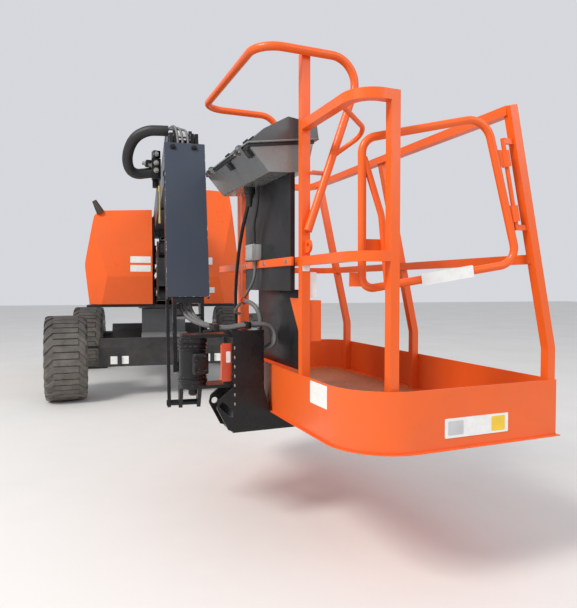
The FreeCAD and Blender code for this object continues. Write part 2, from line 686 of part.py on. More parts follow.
def hood(side, name, rise):
    """Hood shell, open below and towards the booms, on two hinge eyes along its inner top edge."""
    top = f"hood_top + {rise}"
    hinge_z = s.hinge_z + numeric(rise)

    def solid(tag, inset):
        front = [("hood_inner" if inset == "0" else "0", "hood_bottom"), (f"hood_outer - 50 - {inset}", "hood_bottom"),
                 (f"hood_outer - {inset}", "hood_bottom + 430"), (f"hood_outer - 110 - {inset}", f"{top} - 70 - {inset}"),
                 (f"hood_outer - 190 - {inset}", f"{top} - 25 - {inset}"), ("hood_inner" if inset == "0" else "0", f"{top} - {inset}")]
        front = [(f"{side} * ({x})", z) for x, z in front]
        if inset != "0":
            front[0] = (front[0][0], "hood_bottom - 10")
            front[1] = (front[1][0], "hood_bottom - 10")
        side_view = [(f"-hood_front + 40 + {inset}", "hood_bottom - 20"), (f"hood_rear - 30 - {inset}", "hood_bottom - 20"),
                     (f"hood_rear - {inset}", "hood_bottom + 300"), (f"hood_rear - 90 - {inset}", f"{top} + 10"),
                     (f"-hood_front + 130 + {inset}", f"{top} + 10"), (f"-hood_front + {inset}", "hood_bottom + 300")]
        outer = f"hood_outer - {inset}"
        plan = [("0", f"-hood_front - 10 + {inset}"), ("hood_outer - 260", f"-hood_front - 10 + {inset}"), (outer, f"-hood_front + 150 + {inset}"),
                (outer, f"hood_rear - 150 - {inset}"), ("hood_outer - 260", f"hood_rear + 10 - {inset}"), ("0", f"hood_rear + 10 - {inset}")]
        plan = [(f"{side} * ({x})", y) for x, y in plan]
        curve = f"hood_round - {inset}"
        common = doc.addObject("Part::MultiCommon", f"{name}{tag}")
        common.Shapes = [
            profile(f"{name}{tag}Front", MACHINE, front, "2 * hood_front + 200", plane="XZ_Plane", rounds={curve: (2, 3)}),
            profile(f"{name}{tag}Side", MACHINE, side_view, "2 * hood_outer + 100", rounds={curve: (2, 5)}),
            profile(f"{name}{tag}Plan", MACHINE, plan, f"2 * ({top}) + 100", plane="XY_Plane", rounds={curve: (1, 2, 3, 4)}),
        ]
        return common

    shell = cut(f"{name}Shell", solid("Outer", "0"), [solid("Inner", "hood_thickness")])
    pieces = [shell]
    bores = []
    for place_name, y in hinge_places():
        for step in (-1, 1):
            start = Vector(side * s.hinge_x, y + (27 if step > 0 else -63), hinge_z)
            pieces.append(round_bar(f"{name}Eye{place_name}{step + 1}", MACHINE, start, Y_AXIS, "hinge_radius + 8", "36"))
            corner = Vector(side * s.hinge_x - 12, start.y, hinge_z)
            pieces.append(box(f"{name}EyeTab{place_name}{step + 1}", MACHINE, corner, "24", "36", "hood_top - hood_thickness - hinge_z"))
        bores.append(round_bar(f"{name}Bore{place_name}", MACHINE, Vector(side * s.hinge_x, y - 80, hinge_z), Y_AXIS,
                               "hinge_radius + 2 * running_gap", "160"))
    return node(cut(name, fuse(f"{name}Whole", pieces), bores))


def exhaust(roof):
    """Tapered tail pipe that leans outwards from the front slope of the right hood, on which it stands."""
    path = [Vector(-620, -640, 1780), Vector(-640, -672, 1860), Vector(-676, -690, 1950), Vector(-730, -700, 2060)]
    shares = [0, 0.3, 0.62, 1]

    def flue(wall):
        rings = []
        for i, spot in enumerate(path):
            heading = path[min(i + 1, len(path) - 1)] - path[max(i - 1, 0)]
            radius = s.pipe_foot_radius + (s.pipe_tip_radius - s.pipe_foot_radius) * shares[i] - wall
            rings.append(Part.Wire(Part.Circle(spot, heading, radius).toShape()))
        return Part.makeLoft(rings, True)

    pipe = flue(0).cut(flue(s.pipe_wall)).cut(roof)
    pipe = max(pipe.Solids, key=lambda solid: solid.BoundBox.ZMax)
    node(made("exhaust_pipe", MACHINE, pipe))


def riser(name, start, end_step, ears=False):
    """Inverted channel with a solid boss at each end; local Y runs from the start pin to the far pin."""
    frame = MACHINE * Placement(start, Rotation(Z_AXIS, 180 if end_step < 0 else 0))
    length = "riser_length" if end_step < 0 else "riser_upper_length"
    half = "riser_height / 2"
    outline = [(f"-{half}", f"-{half}"), (f"{length} + {half}", f"-{half}"), (f"{length} + {half}", half), (f"-{half}", half)]
    bar = profile(f"{name}Bar", frame, outline, "riser_width", rounds={f"{half} - 1": (0, 1, 2, 3)})
    inner_wide = s.riser_width - 2 * s.riser_wall
    channel = box(f"{name}Channel", frame, Vector(-inner_wide / 2, 90, -s.riser_height / 2 - 1),
                  "riser_width - 2 * riser_wall", f"{length} - 180", "riser_height - riser_wall + 1")
    bores = [cross_pin(f"{name}Bore{i}", frame, y, 0, "riser_pin + running_gap", "riser_width") for i, y in
             enumerate((0, numeric(length)))]
    beam_piece = cut(f"{name}Beam" if ears else name, bar, [channel] + bores)
    if not ears:
        node(beam_piece)
        return
    pieces = [beam_piece]
    for side in (-1, 1):
        ear = [("740", "riser_height / 2 - riser_wall / 2"), ("860", "riser_height / 2 - riser_wall / 2"), ("840", "-riser_height / 2 - 66"), ("760", "-riser_height / 2 - 66")]
        pieces.append(profile(f"{name}Ear{side + 1}", frame, ear, "12", holes=[("800", "-riser_height / 2 - 40", "20")],
                              where=Vector(side * 42, 0, 0)))
    node(fuse(name, pieces))


def link(name, start, end_step):
    """Pair of flat timing bars with one cross tie; the far holes are open pivots."""
    frame = MACHINE * Placement(start, Rotation(Z_AXIS, 180 if end_step < 0 else 0))
    length = "riser_length" if end_step < 0 else "riser_upper_length"
    half = "link_height / 2"
    outline = [(f"-{half}", f"-{half}"), (f"{length} + {half}", f"-{half}"), (f"{length} + {half}", half), (f"-{half}", half)]
    holes = [("0", "0", "link_pin + running_gap"), (length, "0", "link_pin + 2")]
    pieces = []
    for side in (-1, 1):
        x = side * (s.riser_width / 2 - s.link_thickness / 2)
        pieces.append(profile(f"{name}Bar{side + 1}", frame, outline, "link_thickness", holes=holes,
                              rounds={f"{half} - 1": (0, 1, 2, 3)}, where=Vector(x, 0, 0)))
    tie_at = 420 if end_step < 0 else 1700
    tie = box(f"{name}Tie", frame, Vector(-s.riser_width / 2 + s.link_thickness, tie_at, -15), "riser_width - 2 * link_thickness", "40", "30")
    node(fuse(name, pieces + [tie]))


def mid_frame():
    """Two plates that stay level between the risers, joined by their pins and a front web."""
    outline = [("-70", "-60"), ("130 + 55", "90"), ("185", "200"), ("60", "345"), ("-60", "mid_rise + 68"),
               ("-mid_reach - 70", "mid_rise + 68"), ("-mid_reach - 88", "mid_rise"), ("-mid_reach - 88", "60"), ("-mid_reach", "-40")]
    pieces = []
    for side in (-1, 1):
        pieces.append(profile(f"MidPlate{side + 1}", MACHINE, outline, "cheek_thickness",
                              where=mid + Vector(side * (s.cheek_gap + s.cheek_thickness) / 2, 0, 0)))
        for tag, spot in (("Low", mid_link), ("High", upper_link)):
            pieces.append(link_stub(f"MidStub{tag}{side + 1}", side, spot))
    pieces.append(cross_pin("MidPin", MACHINE, mid.y, mid.z, "riser_pin", "cheek_gap / 2 + cheek_thickness"))
    pieces.append(cross_pin("UpperPin", MACHINE, upper.y, upper.z, "riser_pin", "cheek_gap / 2 + cheek_thickness"))
    barrel = riser_ram[0]
    pieces.append(cross_pin("RamPin", MACHINE, barrel.y, barrel.z, "18", "cheek_gap / 2 + cheek_thickness"))
    web = box("MidWeb", MACHINE, Vector(-s.cheek_gap / 2, mid.y - s.mid_reach - 88, mid.z + 70), "cheek_gap", "10", "mid_rise - 160")
    pieces.append(web)
    node(fuse("mid_frame", pieces))


def upright():
    """Two plates that stay level on the upper riser and carry the main boom and its lift ram."""
    local = crown
    outline = [("-70", "-200"), ("200", "-200"), ("200", "210"), ("170", "470"), ("15", "470"), ("-10", "270"),
               ("-140", "200"), ("-155", "100"), ("-70", "70")]
    pieces = []
    for side in (-1, 1):
        pieces.append(profile(f"UprightPlate{side + 1}", MACHINE, outline, "cheek_thickness",
                              where=local + Vector(side * (s.cheek_gap + s.cheek_thickness) / 2, 0, 0)))
        pieces.append(link_stub(f"UprightStub{side + 1}", side, crown_link))
    pieces.append(cross_pin("CrownPin", MACHINE, crown.y, crown.z, "riser_pin", "cheek_gap / 2 + cheek_thickness"))
    pieces.append(cross_pin("BoomPin", MACHINE, boom.y, boom.z, "riser_pin", "cheek_gap / 2 + cheek_thickness"))
    pieces.append(cross_pin("BoomRamPin", MACHINE, boom_ram[0].y, boom_ram[0].z, "18", "cheek_gap / 2 + cheek_thickness"))
    back = box("UprightBack", MACHINE, Vector(-s.cheek_gap / 2, local.y + 190, local.z - 60), "cheek_gap", "10", "260")
    pieces.append(back)
    node(fuse("upright", pieces))


def main_boom():
    """Outer boom box on its tail lugs, with the ears of the lift ram and the front wear pads."""
    back = boom.y - s.boom_tail
    length = f"{CROWN_Y} + boom_step_y - boom_tail + boom_front"
    low = boom.z - s.boom_height / 2
    outer = box("BoomOuter", MACHINE, Vector(-s.boom_width / 2, -s.boom_front, low), "boom_width", length, "boom_height")
    inner = box("BoomInner", MACHINE, Vector(s.boom_wall - s.boom_width / 2, -s.boom_front, low + s.boom_wall),
                "boom_width - 2 * boom_wall", f"{length} - 12", "boom_height - 2 * boom_wall")
    tail = profile("BoomTail", MACHINE, [("-boom_tail - 1", "-110"), ("-60", "-70"), ("55", "-55"), ("55", "55"), ("-60", "80"), ("-boom_tail - 1", "110")],
                   "riser_width", rounds={"40": (2, 3)}, where=boom)
    bore = cross_pin("BoomBore", MACHINE, boom.y, boom.z, "riser_pin + running_gap", "riser_width")
    pieces = [cut("BoomTube", outer, [inner]), cut("BoomTailBored", tail, [bore])]
    ram = boom_ram[1]
    for side in (-1, 1):
        ear = [("-60", f"{low - ram.z + 2}"), ("70", f"{low - ram.z + 2}"), ("34", "-34"), ("-34", "-34")]
        pieces.append(profile(f"BoomEar{side + 1}", MACHINE, ear, "12", holes=[("0", "0", "20")], where=ram + Vector(side * 42, 0, 0)))
        pad_x = (s.boom_width - 2 * s.boom_wall - s.fly_width) / 2 - gap
        x = side * (s.fly_width / 2 + gap) - (0 if side > 0 else pad_x)
        pieces.append(box(f"BoomPadSide{side + 1}", MACHINE, Vector(x, -s.boom_front, boom.z - 60),
                          "(boom_width - 2 * boom_wall - fly_width) / 2 - running_gap", "80", "120"))
        pad_z = (s.boom_height - 2 * s.boom_wall - s.fly_height) / 2 - gap
        z = boom.z + side * (s.fly_height / 2 + gap) - (0 if side > 0 else pad_z)
        pieces.append(box(f"BoomPadFlat{side + 1}", MACHINE, Vector(-50, -s.boom_front, z), "100", "80",
                          "(boom_height - 2 * boom_wall - fly_height) / 2 - running_gap"))
    node(fuse("main_boom", pieces))


def fly_boom():
    """Inner boom box with the forked nose for the crank, and the pin of the levelling ram inside."""
    low = boom.z - s.fly_height / 2
    front = nose.y + s.nose_length
    outer = box("FlyOuter", MACHINE, Vector(-s.fly_width / 2, front, low), "fly_width", "nose_reach - nose_length - fly_tail", "fly_height")
    inner = box("FlyInner", MACHINE, Vector(s.boom_wall - s.fly_width / 2, front, low + s.boom_wall),
                "fly_width - 2 * boom_wall", "nose_reach - nose_length - fly_tail", "fly_height - 2 * boom_wall")
    pieces = [cut("FlyTube", outer, [inner])]
    for side in (-1, 1):
        plate = [("-42", "-42"), ("80", "-55"), ("nose_length", "-fly_height / 2 + 10"), ("nose_length + 140", "-fly_height / 2 + 10"),
                 ("nose_length + 140", "fly_height / 2 - 10"), ("nose_length", "fly_height / 2 - 10"), ("60", "60"), ("-42", "42")]
        pieces.append(profile(f"NosePlate{side + 1}", MACHINE, plate, "nose_plate", holes=[("0", "0", "nose_pin + running_gap")],
                              rounds={"36": (0, 7)}, where=nose + Vector(side * (s.nose_gap + s.nose_plate) / 2, 0, 0)))
    pieces.append(cross_pin("LevelRamPin", MACHINE, level_ram[0].y, level_ram[0].z, "10", "fly_width / 2 - 1"))
    node(fuse("fly_boom", pieces))


def nose_crank():
    """Bell crank that stays level at the boom's nose; pins of the jib, its ram and the level bar."""
    reach = "-crank_reach"
    outline = [("50", "90"), ("18", "84"), ("-8", "46"), (f"{reach} - 34", "34"), (f"{reach} - 34", "-34"),
               (f"{level_top.y - nose.y - 26}", f"{level_top.z - nose.z - 10}"), (f"{level_top.y - nose.y - 10}", f"{level_top.z - nose.z - 26}"),
               (f"{level_top.y - nose.y + 22}", f"{level_top.z - nose.z - 20}"), ("38", "-30"), ("78", "50")]
    pieces = []
    for side in (-1, 1):
        x = side * (s.crank_gap + s.crank_plate) / 2
        pieces.append(profile(f"CrankPlate{side + 1}", MACHINE, outline, "crank_plate", where=nose + Vector(x, 0, 0)))
        inner = side * s.crank_gap / 2
        pieces.append(round_bar(f"CrankStub{side + 1}", MACHINE, nose + Vector(inner, 0, 0), X_AXIS * side, "nose_pin",
                                "(nose_gap - crank_gap) / 2 + nose_plate + 1"))
        pieces.append(round_bar(f"JibStub{side + 1}", MACHINE, jib_top + Vector(inner, 0, 0), X_AXIS * side, "jib_pin",
                                "(jib_gap - crank_gap) / 2 + jib_plate + 1"))
    reach_out = s.level_inset + s.level_thickness + 4
    start = level_top - Vector(reach_out, 0, 0)
    pieces.append(round_bar("LevelTopPin", MACHINE, start, X_AXIS, "level_pin",
                            "level_inset + level_thickness + 4 - crank_gap / 2"))
    pieces.append(cross_pin("JibRamPin", MACHINE, jib_ram[0].y, jib_ram[0].z, "level_pin", "crank_gap / 2 + crank_plate"))
    node(fuse("nose_crank", pieces))


def jib():
    """Jib of two side plates with a back web and cross ties, and the cover that shields its front."""
    def plate_outline():
        half = "jib_depth / 2"
        return [("-30", "30"), ("30", "30"), ("30", "-230"), (half, "-330"), (half, "-jib_length + 330"), ("30", "-jib_length + 230"),
                ("30", "-jib_length - 30"), ("-30", "-jib_length - 30"), ("-34", "-jib_length + 190"), (f"-{half}", "-jib_length + 300"),
                (f"-{half}", "-120"), ("-34", "-40")]

    pieces = []
    for side in (-1, 1):
        x = side * (s.jib_gap + s.jib_plate) / 2
        holes = [("0", "0", "jib_pin + running_gap"), ("0", "-jib_length", "jib_pin + running_gap")]
        pieces.append(profile(f"JibPlate{side + 1}", JIB, plate_outline(), "jib_plate", holes=holes, where=Vector(x, 0, 0)))
        ear = [("-40", "-40"), ("40", "-40"), ("40", "40"), ("-40", "40")]
        pieces.append(profile(f"JibEar{side + 1}", JIB, ear, "(jib_gap - 64) / 2", holes=[("0", "0", "18")],
                              where=Vector(side * (32 + (s.jib_gap - 64) / 4), 0, -700)))
    front = -s.jib_depth / 2
    pieces.append(box("JibWeb", JIB, Vector(-s.jib_gap / 2, front, -s.jib_length + 300), "jib_gap", "10", "jib_length - 560"))
    tie_z = -s.jib_length + 240
    pieces.append(box("JibTie", JIB, Vector(-s.jib_gap / 2, -30, tie_z), "jib_gap", "60", "12"))
    node(fuse("jib_boom", pieces))
    outer = box("CoverOuter", JIB, Vector(-s.cover_width / 2, front - s.cover_thickness, -s.cover_bottom),
                "cover_width", "cover_flange + cover_thickness", "cover_bottom - cover_top")
    inner = box("CoverInner", JIB, Vector(s.cover_thickness - s.cover_width / 2, front, -s.cover_bottom),
                "cover_width - 2 * cover_thickness", "cover_flange + 1", "cover_bottom - cover_top")
    node(cut("jib_cover", outer, [inner]))


def level_bar():
    """Flat bar beside the jib that keeps the platform head level."""
    half = "level_depth / 2"
    outline = [(f"-{half}", half), (half, half), (half, f"-jib_length - {half}"), (f"-{half}", f"-jib_length - {half}")]
    holes = [("0", "0", "level_pin + running_gap"), ("0", "-jib_length", "level_pin + 2")]
    frame = MACHINE * Placement(level_top, Rotation(X_AXIS, -s.jib_lean))
    node(profile("level_bar", frame, outline, "level_thickness", holes=holes, rounds={f"{half} - 1": (0, 1, 2, 3)},
                 where=Vector(-s.level_inset - s.level_thickness / 2, 0, 0)))


def ram(name, ends, barrel_radius, rod_radius, barrel_share, eye_width, eye_radius, pin_radius):
    """Hydraulic ram from its base eye to its rod eye: a bored barrel and a rod with its piston."""
    base, tip = ends
    along = (tip - base)
    length = along.Length
    along.normalize()
    barrel_end = length * barrel_share
    bore = barrel_radius - 7
    start = eye_radius + 14
    eye = Part.makeCylinder(eye_radius, eye_width, base - X_AXIS * (eye_width / 2), X_AXIS)
    hole = Part.makeCylinder(pin_radius + gap, eye_width + 2, base - X_AXIS * (eye_width / 2 + 1), X_AXIS)
    body = Part.makeCylinder(barrel_radius, barrel_end - eye_radius + 6, base + along * (eye_radius - 6), along)
    hollow = Part.makeCylinder(bore, barrel_end - start - 30, base + along * start, along)
    gland = Part.makeCylinder(rod_radius + gap, 40, base + along * (barrel_end - 35), along)
    node(made(f"{name}_barrel", MACHINE, body.fuse(eye).cut(hollow.fuse(gland)).cut(hole)))
    rod_start = base + along * (start + 4)
    piston = Part.makeCylinder(bore - gap, 34, rod_start, along)
    rod = Part.makeCylinder(rod_radius, length - start - 4 - eye_radius + 6, rod_start, along)
    rod_eye = Part.makeCylinder(eye_radius, eye_width, tip - X_AXIS * (eye_width / 2), X_AXIS)
    rod_hole = Part.makeCylinder(pin_radius + gap, eye_width + 2, tip - X_AXIS * (eye_width / 2 + 1), X_AXIS)
    node(made(f"{name}_rod", MACHINE, piston.fuse(rod).fuse(rod_eye).cut(rod_hole)))


def platform_head():
    """Rotator housing with the two arms that hang from the jib's foot pin and the level bar."""
    pins = (jib_foot, level_foot)
    rotator = Vector(0, -s.rotator_reach, 0)
    pieces = [round_bar("RotatorBody", MACHINE, rotator + Vector(0, 0, s.rotator_bottom), Z_AXIS, "rotator_radius",
                        "rotator_top - rotator_bottom")]
    y0 = rotator.y - jib_foot.y
    arm = [(f"{y0 + 40}", f"{s.rotator_top - 30 - jib_foot.z}"), ("-10", "34"), ("34", "30"), ("34", "-30"),
           (f"{level_foot.y - jib_foot.y + 24}", f"{level_foot.z - jib_foot.z - 10}"), (f"{level_foot.y - jib_foot.y - 22}", f"{level_foot.z - jib_foot.z - 22}"),
           (f"{y0 + 66}", f"{s.rotator_bottom + 12 - jib_foot.z}")]
    for side in (-1, 1):
        x = side * (s.crank_gap + s.crank_plate) / 2
        pieces.append(profile(f"HeadArm{side + 1}", MACHINE, arm, "crank_plate", where=jib_foot + Vector(x, 0, 0)))
    pieces.append(cross_pin("JibFootPin", MACHINE, jib_foot.y, jib_foot.z, "jib_pin", "jib_gap / 2 + jib_plate + 1"))
    reach_out = s.level_inset + s.level_thickness + 4
    pieces.append(round_bar("LevelFootPin", MACHINE, level_foot - Vector(reach_out, 0, 0), X_AXIS, "level_pin",
                            "level_inset + level_thickness + 4 + crank_gap / 2 + crank_plate"))
    bore = round_bar("RotatorBore", MACHINE, rotator + Vector(0, 0, s.rotator_bottom - 5), Z_AXIS, "rotator_shaft + running_gap",
                     "rotator_top - rotator_bottom + 10")
    node(cut("rotator_housing", fuse("HeadWhole", pieces), [bore]))


def platform_support():
    """Yoke on the rotator shaft, column and the foot that runs under the floor."""
    near = s.column_near
    pieces = [round_bar("YokeShaft", PLATFORM, Vector(0, 0, s.rotator_bottom - s.yoke_thickness), Z_AXIS, "rotator_shaft",
                        "rotator_top - rotator_bottom + 2 * yoke_thickness")]
    for tag, low in (("Low", s.rotator_bottom - gap - s.yoke_thickness), ("High", s.rotator_top + gap)):
        pieces.append(box(f"Yoke{tag}", PLATFORM, Vector(0, -s.yoke_width / 2, low), "column_near + 10", "yoke_width", "yoke_thickness"))
        pieces.append(round_bar(f"YokeEnd{tag}", PLATFORM, Vector(0, 0, low), Z_AXIS, "yoke_width / 2", "yoke_thickness"))
    low = -s.column_depth / 2
    pieces.append(box("Column", PLATFORM, Vector(near, low, s.column_bottom), "column_far - column_near",
                      "column_depth", "column_top - column_bottom"))
    ear = [("column_near + 5", "column_bottom + 6"), ("column_far + 20", "column_bottom"), ("platform_offset - toe_lip", "platform_bottom - 30"),
           ("platform_offset - toe_lip", "platform_bottom - 1"), ("column_far - 5", "platform_bottom + 130"), ("column_near + 5", "platform_bottom + 130"),
           ("column_near - 66", "platform_bottom + 72"), ("column_near - 74", "platform_bottom + 36"), ("column_near - 21", "column_bottom + 14")]
    slot_ends = [Vector(near - 48, 0, s.platform_bottom + 46), Vector(near - 2, 0, s.platform_bottom + 3)]
    for side in (-1, 1):
        middle = Vector(0, side * (s.column_depth - s.ear_plate) / 2, 0)
        plate = profile(f"ColumnEar{side + 1}", PLATFORM, ear, "ear_plate", plane="XZ_Plane", where=middle, rounds={"24": (6, 7)})
        spots = slot_ends if side < 0 else slot_ends[:1]
        tools = [round_bar(f"EarHole{side + 1}{i}", PLATFORM, spot + middle - Y_AXIS * s.ear_plate, Y_AXIS, "slot_radius", "2 * ear_plate")
                 for i, spot in enumerate(spots)]
        if side < 0:
            run = slot_ends[1] - slot_ends[0]
            bar = box("EarSlot", PLATFORM, Vector(), "2 * slot_radius", "2 * ear_plate", f"{run.Length}")
            aim = Rotation(Z_AXIS, run)
            corner = slot_ends[0] + middle + aim.multVec(Vector(-s.slot_radius, 0, 0)) - Y_AXIS * s.ear_plate
            tools.append(place(bar, PLATFORM, corner, aim))
        pieces.append(cut(f"ColumnEarCut{side + 1}", plate, tools))
    pieces.append(box("Foot", PLATFORM, Vector(near, low, s.column_bottom), "foot_length", "column_depth",
                      "platform_bottom - column_bottom"))
    pieces.append(box("FloorBeam", PLATFORM, Vector(s.platform_offset + s.toe_wall + 2, low, s.platform_bottom),
                      "foot_length + column_near - platform_offset - toe_wall - 2", "column_depth", "floor_height"))
    node(fuse("platform_support", pieces))


def rounded_plan(inset):
    """The platform's plan outline in its own frame, drawn in by an inset; the gate corner at the front is square."""
    left = s.platform_offset + inset
    right = s.platform_offset + s.platform_width - inset
    near = -s.platform_gate_end + inset
    far = s.platform_length - s.platform_gate_end - inset
    gate = s.corner_gate - inset
    back = s.corner_far - inset
    edges = []

    def arc(cx, cy, radius, first, last):
        middle = math.radians((first + last) / 2)
        ends = [math.radians(first), math.radians(last)]
        spots = [Vector(cx + radius * math.cos(a), cy + radius * math.sin(a), 0) for a in (ends[0], middle, ends[1])]
        edges.append(Part.Arc(*spots).toShape())

    def line(x1, y1, x2, y2):
        edges.append(Part.LineSegment(Vector(x1, y1, 0), Vector(x2, y2, 0)).toShape())

    line(left + gate, near, right, near)
    line(right, near, right, far - back)
    arc(right - back, far - back, back, 0, 90)
    line(right - back, far, left + back, far)
    arc(left + back, far - back, back, 90, 180)
    line(left, far - back, left, near + gate)
    arc(left + gate, near + gate, gate, 180, 270)
    return Part.Face(Part.Wire(edges))


def platform_base():
    """Floor and toe board in one piece, with the rolled lip along the bottom."""
    wall = rounded_plan(0).extrude(Z_AXIS * s.toe_height)
    wall = wall.cut(rounded_plan(s.toe_wall).extrude(Z_AXIS * (s.toe_height + 1)))
    floor = rounded_plan(s.toe_wall / 2).extrude(Z_AXIS * s.floor_thickness)
    floor.translate(Z_AXIS * s.floor_height)
    tread = rounded_plan(s.tread_inset).extrude(Z_AXIS * s.tread_height)
    tread.translate(Z_AXIS * (s.floor_height + s.floor_thickness))
    lip = rounded_plan(-s.toe_lip).extrude(Z_AXIS * s.lip_thickness)
    lip = lip.cut(rounded_plan(s.toe_wall / 2).extrude(Z_AXIS * (s.lip_thickness + 1)))
    frame = PLATFORM * Placement(Vector(0, 0, s.platform_bottom), Rotation())
    node(made("platform_base", frame, merged([wall, floor, tread, lip])))


def v_u(v, u, z):
    """A platform point: v outwards from the rear side, u from the gate end, z above the platform's bottom."""
    return Vector(s.platform_offset + v, u - s.platform_gate_end, s.platform_bottom + z)


def guardrail():
    """Posts, top rail and mid rail of the platform, welded into one frame."""
    wide = s.rail_width
    half = wide / 2
    top = s.rail_top - half
    middle = s.rail_mid
    floor_z = 35
    width = s.platform_width
    length = s.platform_length
    inner = s.toe_wall + half
    gate_side = inner + s.post_two_inset
    solids = []

    def square_run(points, bend, up=Z_AXIS):
        heading = (points[1] - points[0]).normalize()
        solids.extend(tube_run(points, bend, square_face(points[0], heading, wide, up)))

    def post(v, u, high, lean_in=0):
        points = [v_u(v, u, floor_z), v_u(v, u, s.post_knee), v_u(v - lean_in, u, high)]
        square_run(points if lean_in else [points[0], points[-1]], s.knee_bend, Y_AXIS)

    lean_in = s.rail_inset
    right_top = width - inner - lean_in
    post(inner, s.post_one, s.hoop_top - s.hoop_radius)
    post(inner, s.post_far, s.rail_top)
    post(s.post_two, gate_side, s.rail_top)
    post(s.corner_far + half, length - inner, s.rail_top)
    for u in (inner, length / 2, length - s.corner_far - half):
        post(width - inner, u, s.rail_top, lean_in)
    bend = s.rail_bend
    square_run([v_u(s.post_two, gate_side, top), v_u(inner, gate_side, top), v_u(inner, s.post_one, top)], bend)
    square_run([v_u(inner, s.post_far, top), v_u(inner, length - inner, top), v_u(right_top, length - inner, top),
                v_u(right_top, inner, top)], bend)
    mid_right = width - inner - lean_in * (middle - s.post_knee) / (s.rail_top - s.post_knee)
    square_run([v_u(s.post_two, gate_side, middle), v_u(inner, gate_side, middle), v_u(inner, length - inner, middle),
                v_u(mid_right, length - inner, middle), v_u(mid_right, inner, middle)], bend)
    eye = v_u(inner, s.post_one - half - s.eye_reach, s.eye_height)
    plate = Part.makeCylinder(s.eye_radius, s.eye_thickness, eye - X_AXIS * (s.eye_thickness / 2), X_AXIS)
    web = Part.makeBox(s.eye_thickness, s.eye_reach + half, 2 * s.eye_radius, eye - Vector(s.eye_thickness / 2, 0, s.eye_radius))
    hole = Part.makeCylinder(s.eye_hole, 2 * s.eye_thickness, eye - X_AXIS * s.eye_thickness, X_AXIS)
    solids.append(plate.fuse(web).cut(hole))
    hinge, axis = gate_frame()
    solids.append(Part.makeCylinder(s.gate_pin, s.rod_high - s.rod_low, hinge + axis * s.rod_low, axis))
    for step in (s.rod_low, s.rod_high - 20):
        solids.append(Part.makeBox(46, 16, 20, hinge + axis * step + Vector(0, -8, 0)))
    corner = v_u(inner - 3, s.post_one + half, s.post_knee)
    web = Part.makePolygon([corner, corner + Z_AXIS * 190, corner + Vector(0, 128, 190), corner])
    solids.append(Part.Face(web).extrude(X_AXIS * 6))
    node(made("guardrail", PLATFORM, merged(solids)))


def guard_hoop():
    """Round tube guard round the console, on the two rear posts."""
    wide = s.rail_width
    inner = s.toe_wall + wide / 2
    high = s.hoop_top - s.hoop_radius
    near = s.post_one - wide / 2 - s.hoop_radius
    far = s.post_far + wide / 2 + s.hoop_radius
    out = -s.hoop_outboard
    low = v_u(inner, near, s.hoop_foot)
    knee = v_u(s.hoop_knee, near, high)
    along = Vector(0, far - near, 0)
    points = [low, knee, v_u(out, near, high), v_u(out, far, high), knee + along, low + along]
    heading = (points[1] - points[0]).normalize()
    solids = tube_run(points, s.hoop_bend, round_face(points[0], heading, s.hoop_radius))
    leg_v = inner + (s.hoop_knee - inner) * (1109 - s.hoop_foot) / (high - s.hoop_foot)
    grip = [v_u(inner, 188, s.rail_top - 14), v_u(235, 360, 1195), v_u(leg_v, near, 1109)]
    heading = (grip[1] - grip[0]).normalize()
    rail = Part.makeBox(wide, 2 * near, wide, v_u(s.toe_wall, 0, s.rail_top - wide))
    solids.append(merged(tube_run(grip, 60, round_face(grip[0], heading, s.handle_radius))).cut(rail))
    shelf = v_u(s.toe_wall + wide, near - 7, s.shelf_height)
    solids.append(Part.makeBox(78, 48, 8, shelf))
    node(made("guard_hoop", PLATFORM, merged(solids)))


def console():
    """Control console on the rear side: box, hinged lid, back panel and the manual box on post one."""
    centre = s.console_near + s.console_length / 2 - s.platform_gate_end
    rim = "1150 + running_gap"
    body = [("-110", "1045"), ("60", "1055"), ("90", "1190"), ("-200", "1150")]
    outline = [(f"platform_offset + ({x})", f"platform_bottom + ({z})") for x, z in body]
    shell = profile("ConsoleShell", PLATFORM, outline, "console_length", plane="XZ_Plane", where=Vector(0, centre, 0), rounds={"14": (0, 1)})
    lid = [("-205", f"{rim} - 5 * 40 / 290"), ("110", f"{rim} + 310 * 40 / 290"), ("100", "1258"), ("-29", "1275"), ("-136", "1215")]
    outline = [(f"platform_offset + ({x})", f"platform_bottom + ({z})") for x, z in lid]
    cover = profile("LidShell", PLATFORM, outline, "console_length + 2 * lid_margin", plane="XZ_Plane", where=Vector(0, centre, 0),
                    rounds={"12": (2, 3)})
    axis = v_u(-s.lid_axis_v, centre + s.platform_gate_end, s.lid_axis_z)
    fixed = [shell]
    moving = [cover]
    bores = []
    for tag, y in (("Near", -s.console_length / 3), ("Far", s.console_length / 3)):
        spot = axis + Y_AXIS * y
        fixed.append(round_bar(f"LidPin{tag}", PLATFORM, spot - Y_AXIS * 41, Y_AXIS, "lid_pin", "82"))
        moving.append(round_bar(f"LidEye{tag}", PLATFORM, spot - Y_AXIS * 20, Y_AXIS, "lid_knuckle", "40"))
        moving.append(box(f"LidTab{tag}", PLATFORM, spot + Vector(0, -20, 5), "20", "40", "12"))
        bores.append(round_bar(f"LidBore{tag}", PLATFORM, spot - Y_AXIS * 60, Y_AXIS, "lid_pin + running_gap", "120"))
        for step in (-41, 21):
            fixed.append(round_bar(f"BoxEye{tag}{step + 41}", PLATFORM, spot + Y_AXIS * step, Y_AXIS, "lid_knuckle", "20"))
            fixed.append(box(f"BoxTab{tag}{step + 41}", PLATFORM, spot + Vector(0, step, -16), "34", "20", "12"))
    node(fuse("console_box", fixed))
    node(cut("console_lid", fuse("LidWhole", moving), bores))
    panel = box("PanelPlate", PLATFORM, v_u(-16, s.console_near, 560), "20", "600", "520")
    node(cut("console_panel", panel, [shell]))
    node(box("manual_box", PLATFORM, v_u(s.toe_wall + s.rail_width, s.post_one - 14, 353), "52", "80", "168"))


